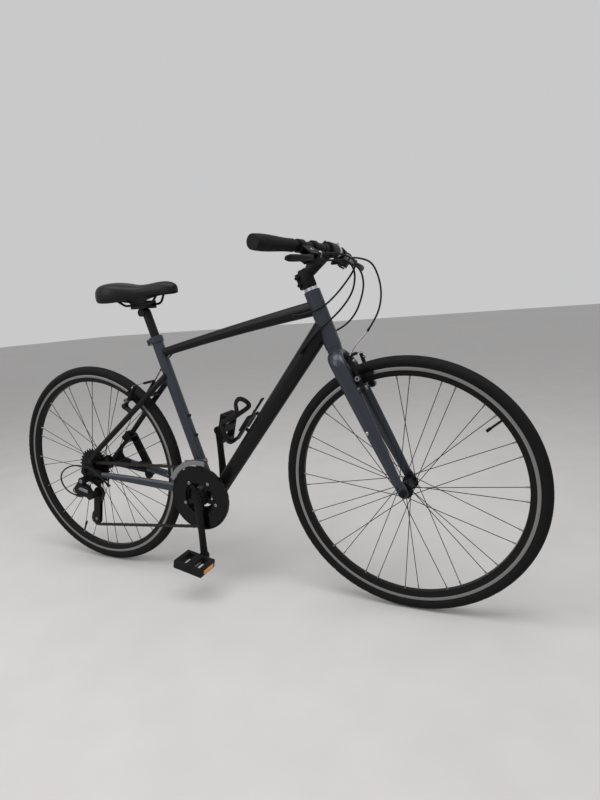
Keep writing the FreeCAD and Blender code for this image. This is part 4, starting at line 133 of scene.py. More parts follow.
SLATE_TONES = ((0.02, 0.025, 0.035), (0.028, 0.034, 0.046))
CHAIN_TONES = ((0.025, 0.022, 0.019), (0.06, 0.054, 0.048))
TRACK_TONES = ((0.2, 0.195, 0.19), (0.3, 0.295, 0.285))
AMBER_TONES = ((0.62, 0.2, 0.012), (0.8, 0.3, 0.03))
FLOOR_TONES = ((0.5, 0.49, 0.48), (0.53, 0.52, 0.51))
LOOK_VALUES = {
    "slate_paint": dict(tones=SLATE_TONES, rough=0.36, metal=0.3, grain=1400, coat=0.3, shine=0.3),
    "black_paint": dict(tones=grey(0.005, 0.008), rough=0.4, grain=900, coat=0.06, shine=0.12),
    "black_alloy": dict(tones=grey(0.005, 0.009), rough=0.45, metal=0.1, bump=0.05, shine=0.12),
    "dark_steel": dict(tones=grey(0.014, 0.03), rough=0.42, metal=0.8, grain=500, bump=0.05, shine=0.2),
    "alloy": dict(tones=grey(0.4, 0.54), rough=0.34, metal=1.0, grain=600, bump=0.03),
    "dull_alloy": dict(tones=grey(0.2, 0.3), rough=0.42, metal=1.0, grain=600, bump=0.03),
    "steel": dict(tones=grey(0.15, 0.24, tint=0.98), rough=0.38, metal=1.0, grain=500, bump=0.05),
    "chrome": dict(tones=grey(0.68, 0.78), rough=0.14, metal=1.0, grain=500),
    "tyre": dict(tones=grey(0.005, 0.009), rough=0.75, grain=1100, bump=0.35, shine=0.12),
    "rubber": dict(tones=grey(0.006, 0.011), rough=0.65, grain=900, bump=0.3, shine=0.14),
    "black_plastic": dict(tones=grey(0.005, 0.009), rough=0.5, grain=900, bump=0.12, shine=0.12),
    "grey_plastic": dict(tones=grey(0.16, 0.22, tint=0.97), rough=0.42, metal=0.2, bump=0.08, shine=0.4),
    "pale_plastic": dict(tones=grey(0.34, 0.42, tint=1.0), rough=0.4, metal=0.1, bump=0.05, shine=0.4),
    "gloss_black": dict(tones=grey(0.002, 0.003), rough=0.22, grain=500, coat=0.1, shine=0.12),
    "saddle_cover": dict(tones=grey(0.005, 0.009), rough=0.44, grain=1500, bump=0.3, coat=0.04, shine=0.16),
    "housing": dict(tones=grey(0.005, 0.008), rough=0.42, grain=900, bump=0.05, shine=0.15),
    "worn_chain": dict(tones=CHAIN_TONES, rough=0.45, metal=0.9, grain=900, bump=0.2),
    "brake_track": dict(tones=TRACK_TONES, rough=0.42, metal=0.85, grain=1200, bump=0.1),
    "amber": dict(tones=AMBER_TONES, rough=0.2, bump=0.5, coat=0.6),
}
LOOKS = {name: make_look(name, **values) for name, values in LOOK_VALUES.items()}
NODE_LOOKS = {
    "slate_paint": "head_tube seat_tube chainstays fork_crown fork_blades bottom_bracket_shell seat_clamp",
    "black_paint": "top_tube down_tube seatstays dropouts seatpost",
    "black_alloy": (
        "stem handlebar headset_bearings bottom_bracket_cups front_hub rear_hub front_rim rear_rim"
        " front_axle rear_axle crank_arms kickstand_bracket kickstand_leg front_brake_arm_left"
        " front_brake_arm_right rear_brake_arm_left rear_brake_arm_right brake_lever_left"
        " brake_lever_right saddle_rails rear_derailleur frame_fittings"
    ),
    "dark_steel": "chainrings front_spokes rear_spokes cassette",
    "dull_alloy": "front_derailleur",
    "chrome": "headset_spacers",
    "tyre": "front_tyre rear_tyre",
    "rubber": "grips",
    "black_plastic": (
        "pedal_left pedal_right bottle_cage upper_pulley lower_pulley shifter_pods shift_lever_left"
        " shift_lever_right rear_derailleur_cage bell brake_brackets"
    ),
    "gloss_black": "chain_guard",
    "saddle_cover": "saddle",
    "housing": "cable_housings front_brake_cable",
    "worn_chain": "chain",
}
for look_name, members in NODE_LOOKS.items():
    for member in members.split():
        nodes[member].data.materials.clear()
        nodes[member].data.materials.append(LOOKS[look_name])

# Blocky nodes get softened edges of these widths
SOFT_EDGES = {
    "brake_brackets": 1.4,
    "shifter_pods": 3.5,
    "shift_lever_left": 1.6,
    "shift_lever_right": 1.6,
    "rear_derailleur": 1.2,
    "pedal_left": 1.2,
    "pedal_right": 1.2,
    "stem": 1.0,
    "crank_arms": 1.2,
    "kickstand_bracket": 1.2,
    "front_brake_arm_left": 0.8,
    "front_brake_arm_right": 0.8,
    "rear_brake_arm_left": 0.8,
    "rear_brake_arm_right": 0.8,
}
SOFT_EDGE_STEPS = 3
SOFT_EDGE_ANGLE = 40
WELD_DISTANCE = 0.02
for member, width in SOFT_EDGES.items():
    weld = nodes[member].modifiers.new("weld", "WELD")
    weld.merge_threshold = WELD_DISTANCE * MM
    bevel = nodes[member].modifiers.new("soft_edges", "BEVEL")
    bevel.width = width * MM
    bevel.segments = SOFT_EDGE_STEPS
    bevel.limit_method = "ANGLE"
    bevel.angle_limit = math.radians(SOFT_EDGE_ANGLE)
    bevel.harden_normals = False

# Shapes: each gives its points and its faces
UPRIGHT_SHARE = 0.9
TUBE_SIDES = 14
BLOCK_EDGE_STEPS = 3
TIP_RADIUS = 0.001
DOME_EDGE_SHARE = 0.35
DOME_CORNER_SHARE = 0.3
DOME_STEPS = 28
SOCKET_SHARE = 0.5
SOCKET_FLOOR_SHARE = 0.4
BOLT_EDGE_SHARE = 0.15
BOLT_STEPS = 24
ROUTE_STEPS = 10
ROUTE_ORDER = 3
SHARP_ANGLE = 35


def frame_of(way):
    """Two ways square to a way and to each other."""
    way = way.normalized()
    across = way.cross(Z if abs(way.z) < UPRIGHT_SHARE else X).normalized()
    return across, way.cross(across)


def joined(*shapes):
    points, faces = [], []
    for some_points, some_faces in shapes:
        start = len(points)
        points += some_points
        faces += [tuple(start + n for n in face) for face in some_faces]
    return points, faces


def skin(rings, count):
    """The faces between rings of points that lie one after another, and the two that close the ends."""
    faces = []
    for n in range(rings - 1):
        near, far = n * count, (n + 1) * count
        for side in range(count):
            m = (side + 1) % count
            faces.append((near + side, near + m, far + m, far + side))
    faces.append(tuple(range(count))[::-1])
    faces.append(tuple((rings - 1) * count + side for side in range(count)))
    return faces


def ways_along(path):
    """At each point of a path, the way from the point before it to the point after."""
    last = len(path) - 1
    return [(path[min(n + 1, last)] - path[max(n - 1, 0)]).normalized() for n in range(len(path))]


def oval(count):
    turns = [2 * math.pi * n / count for n in range(count)]
    return [(math.cos(turn), math.sin(turn)) for turn in turns]


def lathe(profile, centre, way, steps, closed=False):
    """Turns (radius, distance along) pairs round an axis."""
    across, other = frame_of(way)
    way = way.normalized()
    points = []
    for x, y in oval(steps):
        out = across * x + other * y
        points += [centre + out * radius + way * along for radius, along in profile]
    count = len(profile)
    faces = []
    for step in range(steps):
        near, far = step * count, (step + 1) % steps * count
        for n in range(count if closed else count - 1):
            m = (n + 1) % count
            faces.append((near + n, near + m, far + m, far + n))
    return points, faces


def band(radii, reach, centre, way, steps):
    """A turned ring of square section, between two radii and two places along its axis."""
    inner, outer = radii
    start, finish = reach
    profile = [(inner, start), (outer, start), (outer, finish), (inner, finish)]
    return lathe(profile, centre, way, steps, closed=True)


def tube(path, radius, sides=TUBE_SIDES):
    """A round tube along points, with closed ends."""
    points = []
    across = None
    for point, way in zip(path, ways_along(path)):
        across = frame_of(way)[0] if across is None else (across - way * across.dot(way)).normalized()
        other = way.cross(across)
        points += [point + (across * x + other * y) * radius for x, y in oval(sides)]
    return points, skin(len(path), sides)


def sweep(path, lifts, halves, corners):
    """A bar along points: at each, a way up off it, half its width and half its height."""
    points = []
    for point, way, lift, (wide, high) in zip(path, ways_along(path), lifts, halves):
        across = way.cross(lift).normalized()
        up = across.cross(way)
        points += [point + across * (wide * x) + up * (high * y) for x, y in corners]
    return points, skin(len(path), len(corners))


def block(centre, ways, sizes, edge):
    """A box along three ways with rounded edges."""
    shape = bmesh.new()
    bmesh.ops.create_cube(shape, size=1)
    bmesh.ops.scale(shape, vec=sizes, verts=shape.verts)
    bmesh.ops.bevel(
        shape, geom=shape.edges, offset=edge, segments=BLOCK_EDGE_STEPS, profile=0.5, affect="EDGES"
    )
    shape.verts.index_update()
    points = [centre + ways[0] * v.co.x + ways[1] * v.co.y + ways[2] * v.co.z for v in shape.verts]
    faces = [tuple(v.index for v in face.verts) for face in shape.faces]
    shape.free()
    return points, faces


def dome(centre, way, radius, height):
    """A turned cap with a rounded rim."""
    edge = min(radius, height) * DOME_EDGE_SHARE
    corner = edge * DOME_CORNER_SHARE
    profile = [
        (radius, 0),
        (radius, height - edge),
        (radius - corner, height - corner),
        (radius - edge, height),
        (TIP_RADIUS, height),
    ]
    return lathe(profile, centre, way, DOME_STEPS)


def socket_bolt(centre, way, radius, height):
    """A bolt head with a round socket, standing on a surface and reaching as far below it."""
    hole = radius * SOCKET_SHARE
    edge = radius * BOLT_EDGE_SHARE
    depth = height * SOCKET_FLOOR_SHARE
    profile = [
        (radius, -height),
        (radius, height - edge),
        (radius - edge, height),
        (hole, height),
        (hole, depth),
    ]
    head = lathe(profile, centre, way, BOLT_STEPS)
    floor = lathe([(hole, depth), (TIP_RADIUS, depth)], centre, way, BOLT_STEPS)
    return joined(head, floor)


def add_piece(name, shape, look, body=None, stands_for=(), sharp=SHARP_ANGLE):
    """Makes a piece from a shape, with the body it rides on and the nodes it stands for."""
    points, faces = shape
    mesh = bpy.data.meshes.new(name)
    mesh.from_pydata([point * MM for point in points], [], faces)
    mesh.validate()
    mesh.shade_smooth()
    mesh.set_sharp_from_angle(angle=math.radians(sharp))
    mesh.materials.append(LOOKS[look])
    item = bpy.data.objects.new(name, mesh)
    bpy.context.scene.collection.objects.link(item)
    if body:
        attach(item, body)
    if stands_for:
        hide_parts(*stands_for)
    return item


def smooth_route(points):
    """The points of a smooth curve that the route's points steer."""
    curve = bpy.data.curves.new("route", "CURVE")
    curve.dimensions = "3D"
    spline = curve.splines.new("NURBS")
    spline.points.add(len(points) - 1)
    for control, point in zip(spline.points, points):
        control.co = (*point, 1)
    spline.order_u = ROUTE_ORDER
    spline.use_endpoint_u = True
    spline.resolution_u = ROUTE_STEPS
    holder = bpy.data.objects.new("route", curve)
    mesh = bpy.data.meshes.new_from_object(holder)
    samples = [vertex.co.copy() for vertex in mesh.vertices]
    bpy.data.objects.remove(holder)
    bpy.data.meshes.remove(mesh)
    bpy.data.curves.remove(curve)
    return samples


# Wheels: treaded tyres, brake tracks and nipples
TYRE_RADIUS = 343
TYRE_HALF = 16
RIM_RADIUS = 316
TREAD_STEPS = 360
TREAD_SIDES = 33
TREAD_ANGLE = 62
BEAD_ANGLE = 138
INNER_GROOVE = (14, 22)
OUTER_GROOVE = (40, 48)
GROOVE_DEPTH = 0.9
SHOULDER_CUT_STEPS = 3
BLOCK_CUT_STEPS = 6
BLOCK_CUT_ANGLE = 8
RIB_ANGLE = 6
RIB_HEIGHT = 0.35
TREAD_SHARP_ANGLE = 28
TRACK_EDGE = 0.4
TRACK_RADII = (306.5, RIM_RADIUS - TRACK_EDGE)
TRACK_BACK = 11.3
TRACK_FACE = 11.51
TRACK_STEPS = 160
SPOKE_PAIRS = 16
SPOKE_STAGGER = 3.5
SPOKE_LEAN = 60
SPOKE_HOLE_INSET = 3
SPOKE_HOLE_SIDE = 2
NIPPLE_PLACE = 293
NIPPLE_SIDE = 3
NIPPLE_PROFILE = [(2.6, -1), (2.6, 3), (2.0, 4), (2.0, 11), (1.5, 12.5), (1.0, 12.5)]
NIPPLE_STEPS = 10
WHEELS = {
    # axle, radius of the hub's flanges, and each flange's side and distance from the middle
    "front": (FRONT_AXLE, 21, [(-1, 34), (1, 34)]),
    "rear": (REAR_AXLE, 24, [(-1, 19), (1, 36)]),
}


def tread_depth(step, angle):
    """How far the tyre's skin lies under its outline, from grooves in the tread and ribs on the wall."""
    wide = abs(angle)
    left_side = 1 if angle > 0 else 0
    if wide > TREAD_ANGLE:
        return RIB_HEIGHT if round(wide / RIB_ANGLE) % 2 else 0.0
    if INNER_GROOVE[0] < wide < INNER_GROOVE[1] or OUTER_GROOVE[0] < wide < OUTER_GROOVE[1]:
        return GROOVE_DEPTH
    if wide >= OUTER_GROOVE[1] and (step + left_side) % SHOULDER_CUT_STEPS == 0:
        return GROOVE_DEPTH
    between = INNER_GROOVE[1] <= wide <= OUTER_GROOVE[0]
    if between and (step + round(wide / BLOCK_CUT_ANGLE)) % BLOCK_CUT_STEPS == 0:
        return GROOVE_DEPTH
    return 0.0


def tyre_shape(axle):
    middle = TYRE_RADIUS - TYRE_HALF
    points, faces = [], []
    for step in range(TREAD_STEPS):
        out = radial(360 * step / TREAD_STEPS)
        for side in range(TREAD_SIDES):
            angle = BEAD_ANGLE * (2 * side / (TREAD_SIDES - 1) - 1)
            size = TYRE_HALF - tread_depth(step, angle)
            lean = math.radians(angle)
            points.append(axle + out * (middle + size * math.cos(lean)) + Y * (size * math.sin(lean)))
    for step in range(TREAD_STEPS):
        near, far = step * TREAD_SIDES, (step + 1) % TREAD_STEPS * TREAD_SIDES
        for side in range(TREAD_SIDES - 1):
            faces.append((near + side, near + side + 1, far + side + 1, far + side))
    return points, faces


def track_shape(axle):
    """The machined bands on both faces of a rim."""
    inner, outer = TRACK_RADII
    profile = [
        (outer, TRACK_BACK),
        (outer - TRACK_EDGE, TRACK_FACE),
        (inner + TRACK_EDGE, TRACK_FACE),
        (inner, TRACK_BACK),
    ]
    return joined(*[lathe(profile, axle, Y * side, TRACK_STEPS) for side in SIDES.values()])


def nipple_shape(axle, flange_radius, flanges):
    """A nipple where each spoke meets the rim."""
    shapes = []
    for pair in range(SPOKE_PAIRS):
        lean = 1 if pair % 2 else -1
        for side, place in flanges:
            angle = 360 * pair / SPOKE_PAIRS + side * SPOKE_STAGGER
            hole = radial(angle + lean * side * SPOKE_LEAN) * (flange_radius - SPOKE_HOLE_INSET)
            start = axle + hole + Y * (side * place + lean * SPOKE_HOLE_SIDE)
            finish = axle + radial(angle) * NIPPLE_PLACE + Y * (side * NIPPLE_SIDE)
            shapes.append(lathe(NIPPLE_PROFILE, finish, start - finish, NIPPLE_STEPS))
    return joined(*shapes)


for end, (axle, flange_radius, flanges) in WHEELS.items():
    body = f"{end}_wheel"
    tread = tyre_shape(axle)
    add_piece(f"{end}_tyre_tread", tread, "tyre", body, [f"{end}_tyre"], TREAD_SHARP_ANGLE)
    add_piece(f"{end}_brake_track", track_shape(axle), "brake_track", body)
    add_piece(f"{end}_nipples", nipple_shape(axle, flange_radius, flanges), "steel", body)

# Saddle: a crowned, padded cover over the plastic sockets that hold its rails
SADDLE_TAIL = -411
SADDLE_LENGTH = 281
SADDLE_ROOF = 908
SADDLE_ROOF_DEPTH = 8
SADDLE_STATIONS = [
    # share of the length, half width, top, shoulder, bottom
    (0.00, 34, 922, 911, 895),
    (0.03, 50, 932, 920, 888),
    (0.10, 67, 941, 930, 882),
    (0.21, 76, 945.5, 934, 879),
    (0.34, 69, 941, 930, 879),
    (0.46, 52, 932.5, 921, 884),
    (0.58, 38, 928, 917, 890),
    (0.72, 31, 931, 920, 894),
    (0.86, 28, 934, 923, 893),
    (0.95, 23, 929, 919, 894),
    (1.00, 13, 919, 911, 898),
]
# Crown: shares of the half width, and of the drop from the top to the shoulder
CROWN_SHARES = [(0.0, 0.0), (0.35, 0.12), (0.68, 0.45), (0.92, 1.0)]
# Waist: share of the drop from the shoulder to the bottom; lip and roof: shares of the half width
WAIST_SHARE = 0.45
LIP_SHARES = (0.95, 0.88, 0.80)
LIP_RISE = 3
ROOF_SHARES = (0.72, 0.3, 0.0)
SADDLE_SHARP_ANGLE = 80
SADDLE_ROUNDING = 3
RAIL_TAIL = Vector((-349, 22, 898))
RAIL_NOSE = Vector((-186, 15, 905))
TAIL_SOCKET_SIZES = (16, 14, 20)
NOSE_SOCKET_SIZES = (16, 11, 9)
RAIL_SOCKET_EDGE = 2


def saddle_ring(place, half, top, shoulder, bottom):
    """A closed line round the saddle: crown, drawn-in sides, and the hollow below."""
    x = SADDLE_TAIL + SADDLE_LENGTH * place
    roof = min(SADDLE_ROOF, top - SADDLE_ROOF_DEPTH)
    outline = [(half * wide, top - (top - shoulder) * drop) for wide, drop in CROWN_SHARES]
    outline.append((half, shoulder + (bottom - shoulder) * WAIST_SHARE))
    outline += [(half * wide, bottom + rise) for wide, rise in zip(LIP_SHARES, (LIP_RISE, 0, LIP_RISE))]
    outline += [(half * wide, roof) for wide in ROOF_SHARES]
    mirrored = [(-y, z) for y, z in outline[-2:0:-1]]
    return [Vector((x, y, z)) for y, z in outline + mirrored]


def saddle_shape():
    points, faces = [], []
    rings = [saddle_ring(*station) for station in SADDLE_STATIONS]
    count = len(rings[0])
    for ring in rings:
        points += ring
    for n in range(len(rings) - 1):
        near, far = n * count, (n + 1) * count
        for side in range(count):
            m = (side + 1) % count
            faces.append((near + side, far + side, far + m, near + m))
    half = count // 2
    end_faces = [(0, 1, count - 1)]
    end_faces += [(n, n + 1, count - n - 1, count - n) for n in range(1, half - 1)]
    end_faces.append((half - 1, half, half + 1))
    last = (len(rings) - 1) * count
    faces += end_faces
    faces += [tuple(last + n for n in face)[::-1] for face in end_faces]
    return points, faces


def rail_sockets():
    shapes = []
    for side in SIDES.values():
        mirror = Vector((1, side, 1))
        shapes.append(block(RAIL_TAIL * mirror, (X, Y, Z), TAIL_SOCKET_SIZES, RAIL_SOCKET_EDGE))
        shapes.append(block(RAIL_NOSE * mirror, (X, Y, Z), NOSE_SOCKET_SIZES, RAIL_SOCKET_EDGE))
    return joined(*shapes)


saddle = add_piece(
    "saddle_pad", saddle_shape(), "saddle_cover", "seatpost", ["saddle"], SADDLE_SHARP_ANGLE
)
rounding = saddle.modifiers.new("rounding", "SUBSURF")
rounding.levels = SADDLE_ROUNDING
rounding.render_levels = SADDLE_ROUNDING
add_piece("saddle_base", rail_sockets(), "black_plastic", "seatpost")

# Cables: smooth housings with ferrules, noodles, boots and bare cable ends
HOUSING_RADIUS = 2.5
FERRULE_WALL = 0.7
FERRULE_LENGTH = 9
FERRULE_OVERRUN = 1
FERRULE_SIDES = 16
FERRULE_SAMPLES = 4
NOODLE_RADIUS = 2.3
BARE_CABLE_RADIUS = 0.9
BARE_CABLE_TAIL = 16
BARE_CABLE_SIDES = 10
BOOT_LENGTH_SHARE = 0.6
BOOT_RIBS = 9
BOOT_RIB_SHARES = (0.25, 0.75)
BOOT_RADII = (3.2, 4.3)
BOOT_MOUTH_RADIUS = 2.4
BOOT_TIP_RADIUS = 1.4
BOOT_STEPS = 20
ROUTES = {
    "rear_brake_housing": [
        (373, -108, 942),
        (384, -72, 945),
        (405, -36, 943),
        (422, 20, 927),
        (405, 36, 902),
        (369, 36, 862),
        (351, 6, 836),
        (337, -26, 818),
        (300, -30, 807),
        (263, -22, 803),
    ],
    "right_shift_housing": [
        (361, -70, 929),
        (373, -44, 931),
        (394, -21, 931),
        (409, -8, 926),
        (417, 4, 911),
        (418, 12, 888),
        (408, 16, 852),
        (385, 6, 818),
        (361, -17, 790),
        (335, -30, 769),
        (304, -28, 745),
        (275, -26.5, 714),
    ],
    "left_shift_housing": [
        (364, 68, 929),
        (376, 52, 929),
        (397, 46, 926),
        (415, 46, 916),
        (426, 48, 896),
        (428, 50, 865),
        (419, 46, 830),
        (405, 41, 797),
        (380, 36, 770),
        (350, 30, 754),
        (322, 27, 742),
    ],
}
FRONT_BRAKE = [
    (373, 108, 942),
    (381, 78, 943),
    (410, 66, 940),
    (446, 66, 927),
    (463, 64, 893),
    (473, 54, 851),
    (472, 40, 813),
    (462, 22, 779),
    (444, 6, 750),
]
FRONT_NOODLE = [(444, 6, 750), (431, -14, 733), (419, -33, 716), (410.1, -45.2, 694.4)]
REAR_LOOP = [
    (-438, -77, 308),
    (-480, -82, 352),
    (-534, -82, 366),
    (-590, -81, 361),
    (-635, -79, 336),
    (-645, -79, 307),
    (-632, -79, 279),
    (-604, -78, 259),
    (-583, -76, 256),
]
REAR_BRAKE_BACK = [(-150, 17, 738), (-188, 21, 716), (-220, 24, 690), (-246, 26, 663)]
REAR_NOODLE = [(-246, 26, 663), (-272, 33, 640), (-290.7, 45.2, 627.1)]


def housing_shape(route):
    """A housing with a ferrule at each end."""
    path = smooth_route([Vector(point) for point in route])
    ends = []
    for tip, inner in ((path[0], path[FERRULE_SAMPLES]), (path[-1], path[-1 - FERRULE_SAMPLES])):
        way = (inner - tip).normalized()
        ferrule = [tip - way * FERRULE_OVERRUN, tip + way * FERRULE_LENGTH]
        ends.append(tube(ferrule, HOUSING_RADIUS + FERRULE_WALL, FERRULE_SIDES))
    return joined(tube(path, HOUSING_RADIUS), *ends)


def boot_shape(near, far):
    """A ribbed rubber boot over the bare cable between the two brake arms."""
    length = (far - near).length * BOOT_LENGTH_SHARE
    profile = [(BOOT_MOUTH_RADIUS, 0)]
    for n in range(BOOT_RIBS):
        for radius, share in zip(BOOT_RADII, BOOT_RIB_SHARES):
            profile.append((radius, length * (n + share) / BOOT_RIBS))
    profile.append((BOOT_TIP_RADIUS, length))
    return lathe(profile, near, far - near, BOOT_STEPS)


for name, route in ROUTES.items():
    item = add_piece(name, housing_shape(route), "housing")
    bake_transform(item)
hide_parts("cable_housings")
add_piece("rear_loop", housing_shape(REAR_LOOP), "housing", "frame")
add_piece("rear_brake_tail", housing_shape(REAR_BRAKE_BACK), "housing", "frame")
front_housing = housing_shape(FRONT_BRAKE)
add_piece("front_brake_housing", front_housing, "housing", "fork", ["front_brake_cable"])
for end, body, noodle in (("front", "fork", FRONT_NOODLE), ("rear", "frame", REAR_NOODLE)):
    path = smooth_route([Vector(point) for point in noodle])
    near = Vector(noodle[-1])
    far = Vector((near.x, -near.y, near.z))
    tail = far + (far - near).normalized() * BARE_CABLE_TAIL
    bare_cable = tube([near, tail], BARE_CABLE_RADIUS, BARE_CABLE_SIDES)
    add_piece(f"{end}_noodle", tube(path, NOODLE_RADIUS), "dull_alloy", body)
    add_piece(f"{end}_boot", boot_shape(near, far), "rubber", body)
    add_piece(f"{end}_bare_cable", bare_cable, "steel", body)

# Headset: a dark spacer under the stem, and the cap with its bolt above it
STACK_RADII = (14.4, 17.3)
STACK_STEPS = 48
SPACER_REACH = (574.5, 579.2)
CAP_FOOT = 621.4
CAP_HEIGHT = 5.3
CAP_BOLT = (4, 1.2)
black_stack = [
    band(STACK_RADII, SPACER_REACH, STEER_FOOT, STEER_UP, STACK_STEPS),
    dome(steer(CAP_FOOT), STEER_UP, STACK_RADII[1], CAP_HEIGHT),
    socket_bolt(steer(CAP_FOOT + CAP_HEIGHT), STEER_UP, *CAP_BOLT),
]
add_piece("headset_black", joined(*black_stack), "black_alloy", "fork")

# Handlebar fittings: lever blades, adjusters, pivot bolts, shifter faces and the bell's strap
BAR_BEND = 66
BAR_SWEEP = math.radians(13)
LEVER_TILT = math.radians(37)
LEVER_PIVOT = (144, 30)
LEVER_PATH = [(0, 0), (10, 13), (30, 22), (66, 27), (96, 29), (116, 30), (123, 30.3)]
LEVER_HALVES = [(8.2, 5.0), (7.6, 5.2), (6.4, 7.2), (5.6, 8.2), (5.6, 8.6), (5.6, 8.4), (3.2, 5.2)]
LEVER_CORNERS = 20
LEVER_SHARP_ANGLE = 60
LEVER_BOLT = (5, 1.6)
BRACKET_LIFT = 9
BRACKET_INNER = 123.6
BRACKET_REACH = 29
END_CAP_SIZES = (2.4, 32, 17)
END_CAP_EDGE = 0.8
ADJUSTER_START = 125
ADJUSTER_LENGTH = 21
ADJUSTER_RIDGES = 6
ADJUSTER_RIDGE_SHARES = (0.3, 0.7)
ADJUSTER_RADII = (5.4, 6.1)
ADJUSTER_LIP = 1
ADJUSTER_ROOT = (3.4, -2)
ADJUSTER_MOUTH = (3.2, ADJUSTER_LENGTH + ADJUSTER_LIP)
ADJUSTER_STEPS = 28
POD_PLACE = (98, 20)
POD_TOP = -10.4
POD_FACE_SIZES = (24, 15, 1.6)
POD_FACE_EDGE = 0.6
BELL_PLACE = 42
BELL_STRAP_RADII = (15.2, 16.5)
BELL_STRAP_REACH = (-7.4, 7.4)
BELL_STRAP_STEPS = 40
BELL_CLASP_RISE = 16
BELL_CLASP_SIZES = (19, 15, 10)
BELL_CLASP_EDGE = 2.5


def bar_ways(side):
    """The ways outward along the bar, forward and down past it, and up off that slope."""
    fore = Vector((math.cos(BAR_SWEEP), side * math.sin(BAR_SWEEP), 0))
    out = Vector((-math.sin(BAR_SWEEP), side * math.cos(BAR_SWEEP), 0))
    down = fore * math.cos(LEVER_TILT) - Z * math.sin(LEVER_TILT)
    return out, down, fore * math.sin(LEVER_TILT) + Z * math.cos(LEVER_TILT)


def on_bar(side, along, reach=0.0, lift=0.0):
    """A place by its distance along the bar, down past it and up off that slope."""
    out, down, up = bar_ways(side)
    corner = BAR_CENTRE + Y * (side * BAR_BEND)
    return corner + out * (along - BAR_BEND) + down * reach + up * lift


def even_steps(values, count):
    """Values spread evenly over a count of steps, on straight lines between the ones given."""
    spread = []
    for n in range(count):
        place = n / (count - 1) * (len(values) - 1)
        low = min(int(place), len(values) - 2)
        share = place - low
        spread.append([a + (b - a) * share for a, b in zip(values[low], values[low + 1])])
    return spread


def lever_shape(side):
    up = bar_ways(side)[2]
    along, reach = LEVER_PIVOT
    path = smooth_route([on_bar(side, along + a, reach + r) for a, r in LEVER_PATH])
    return sweep(path, [up] * len(path), even_steps(LEVER_HALVES, len(path)), oval(LEVER_CORNERS))


def adjuster_shape(side):
    """A ridged barrel where the housing enters the bracket."""
    out = bar_ways(side)[0]
    ridge = ADJUSTER_LENGTH / ADJUSTER_RIDGES
    valley, crest = ADJUSTER_RADII
    profile = [ADJUSTER_ROOT]
    for n in range(ADJUSTER_RIDGES):
        profile.append((valley, ridge * n))
        profile += [(crest, ridge * (n + share)) for share in ADJUSTER_RIDGE_SHARES]
        profile.append((valley, ridge * (n + 1)))
    profile.append(ADJUSTER_MOUTH)
    return lathe(profile, on_bar(side, ADJUSTER_START, LEVER_PIVOT[1]), -out, ADJUSTER_STEPS)


def shifter_face_shape(side):
    """The plate on the pod and the end cap of the lever's bracket."""
    ways = bar_ways(side)
    face = block(on_bar(side, *POD_PLACE, POD_TOP), ways, POD_FACE_SIZES, POD_FACE_EDGE)
    end_cap = block(on_bar(side, BRACKET_INNER, BRACKET_REACH), ways, END_CAP_SIZES, END_CAP_EDGE)
    return joined(face, end_cap)


def bell_strap_shape():
    foot = BAR_CENTRE + Y * BELL_PLACE
    strap = band(BELL_STRAP_RADII, BELL_STRAP_REACH, foot, Y, BELL_STRAP_STEPS)
    clasp = block(foot + Z * BELL_CLASP_RISE, (X, Y, Z), BELL_CLASP_SIZES, BELL_CLASP_EDGE)
    return joined(strap, clasp)


for name, side in SIDES.items():
    lever = f"brake_lever_{name}"
    blade = lever_shape(side)
    bolt = socket_bolt(on_bar(side, *LEVER_PIVOT, BRACKET_LIFT), bar_ways(side)[2], *LEVER_BOLT)
    add_piece(f"lever_blade_{name}", blade, "black_alloy", lever, [lever], LEVER_SHARP_ANGLE)
    add_piece(f"lever_adjuster_{name}", adjuster_shape(side), "pale_plastic", "fork")
    add_piece(f"lever_pivot_bolt_{name}", bolt, "dull_alloy", "fork")
    add_piece(f"shifter_face_{name}", shifter_face_shape(side), "grey_plastic", "fork")
add_piece("bell_strap_band", bell_strap_shape(), "pale_plastic", "fork")

# Stem: the two pinch bolts at its back
PINCH_MIDDLE = 600.3
PINCH_RISES = (-10, 10)
PINCH_FORE = -21.2
PINCH_SIDE = -16
PINCH_BOLT = (4.8, 3.2)
pinch_places = [steer(PINCH_MIDDLE + rise, PINCH_FORE, PINCH_SIDE) for rise in PINCH_RISES]
pinch_bolts = [socket_bolt(place, -Y, *PINCH_BOLT) for place in pinch_places]
add_piece("stem_pinch_bolts", joined(*pinch_bolts), "black_alloy", "fork")

# Bottle cage: one looped wing round the bottle's right side and a slotted plate on the down tube
DOWN_START = Vector((-58, 0, 282))
DOWN_LEAN = 51.577
DOWN_LIFT, DOWN_WAY = leaning(DOWN_LEAN)
BOTTLE_LIFT = 74
BAND_HALVES = (6.5, 2.2)
BAND_CORNER_SHARES = [
    (-1, -0.6),
    (-0.8, -1),
    (0.8, -1),
    (1, -0.6),
    (1, 0.6),
    (0.8, 1),
    (-0.8, 1),
    (-1, 0.6),
]
BAND_ROUTE = [
    # along the down tube, off it, sideways
    (196, 39, 9),
    (184, 41, 19),
    (184, 50, 31),
    (193, 62, 38),
    (204, 80, 39.5),
    (211, 93, 36),
    (223, 93, 36),
    (240, 80, 39.5),
    (262, 68, 39.5),
    (285, 60, 37.5),
    (303, 53, 34),
    (316, 50, 32),
    (323, 58, 36),
    (324, 70, 39.5),
    (319, 83, 39),
    (309, 89, 37),
    (297, 88, 37.5),
    (287, 78, 39.5),
    (276, 66, 39.5),
]
CAGE_PLATES = [
    # from, to, width
    (186, 232, 26),
    (228, 285, 22),
    (230, 235, 60),
    (242, 247, 60),
    (254, 259, 60),
    (266, 285, 58),
    (281, 340, 11),
    (334, 346, 15),
]
PLATE_LIFT = 38.5
PLATE_THICKNESS = 5
PLATE_EDGE = 1.4
CAGE_RAIL_PLACE = 256
CAGE_RAIL_SIDE = 28
CAGE_RAIL_SIZES = (52, 5, PLATE_THICKNESS)
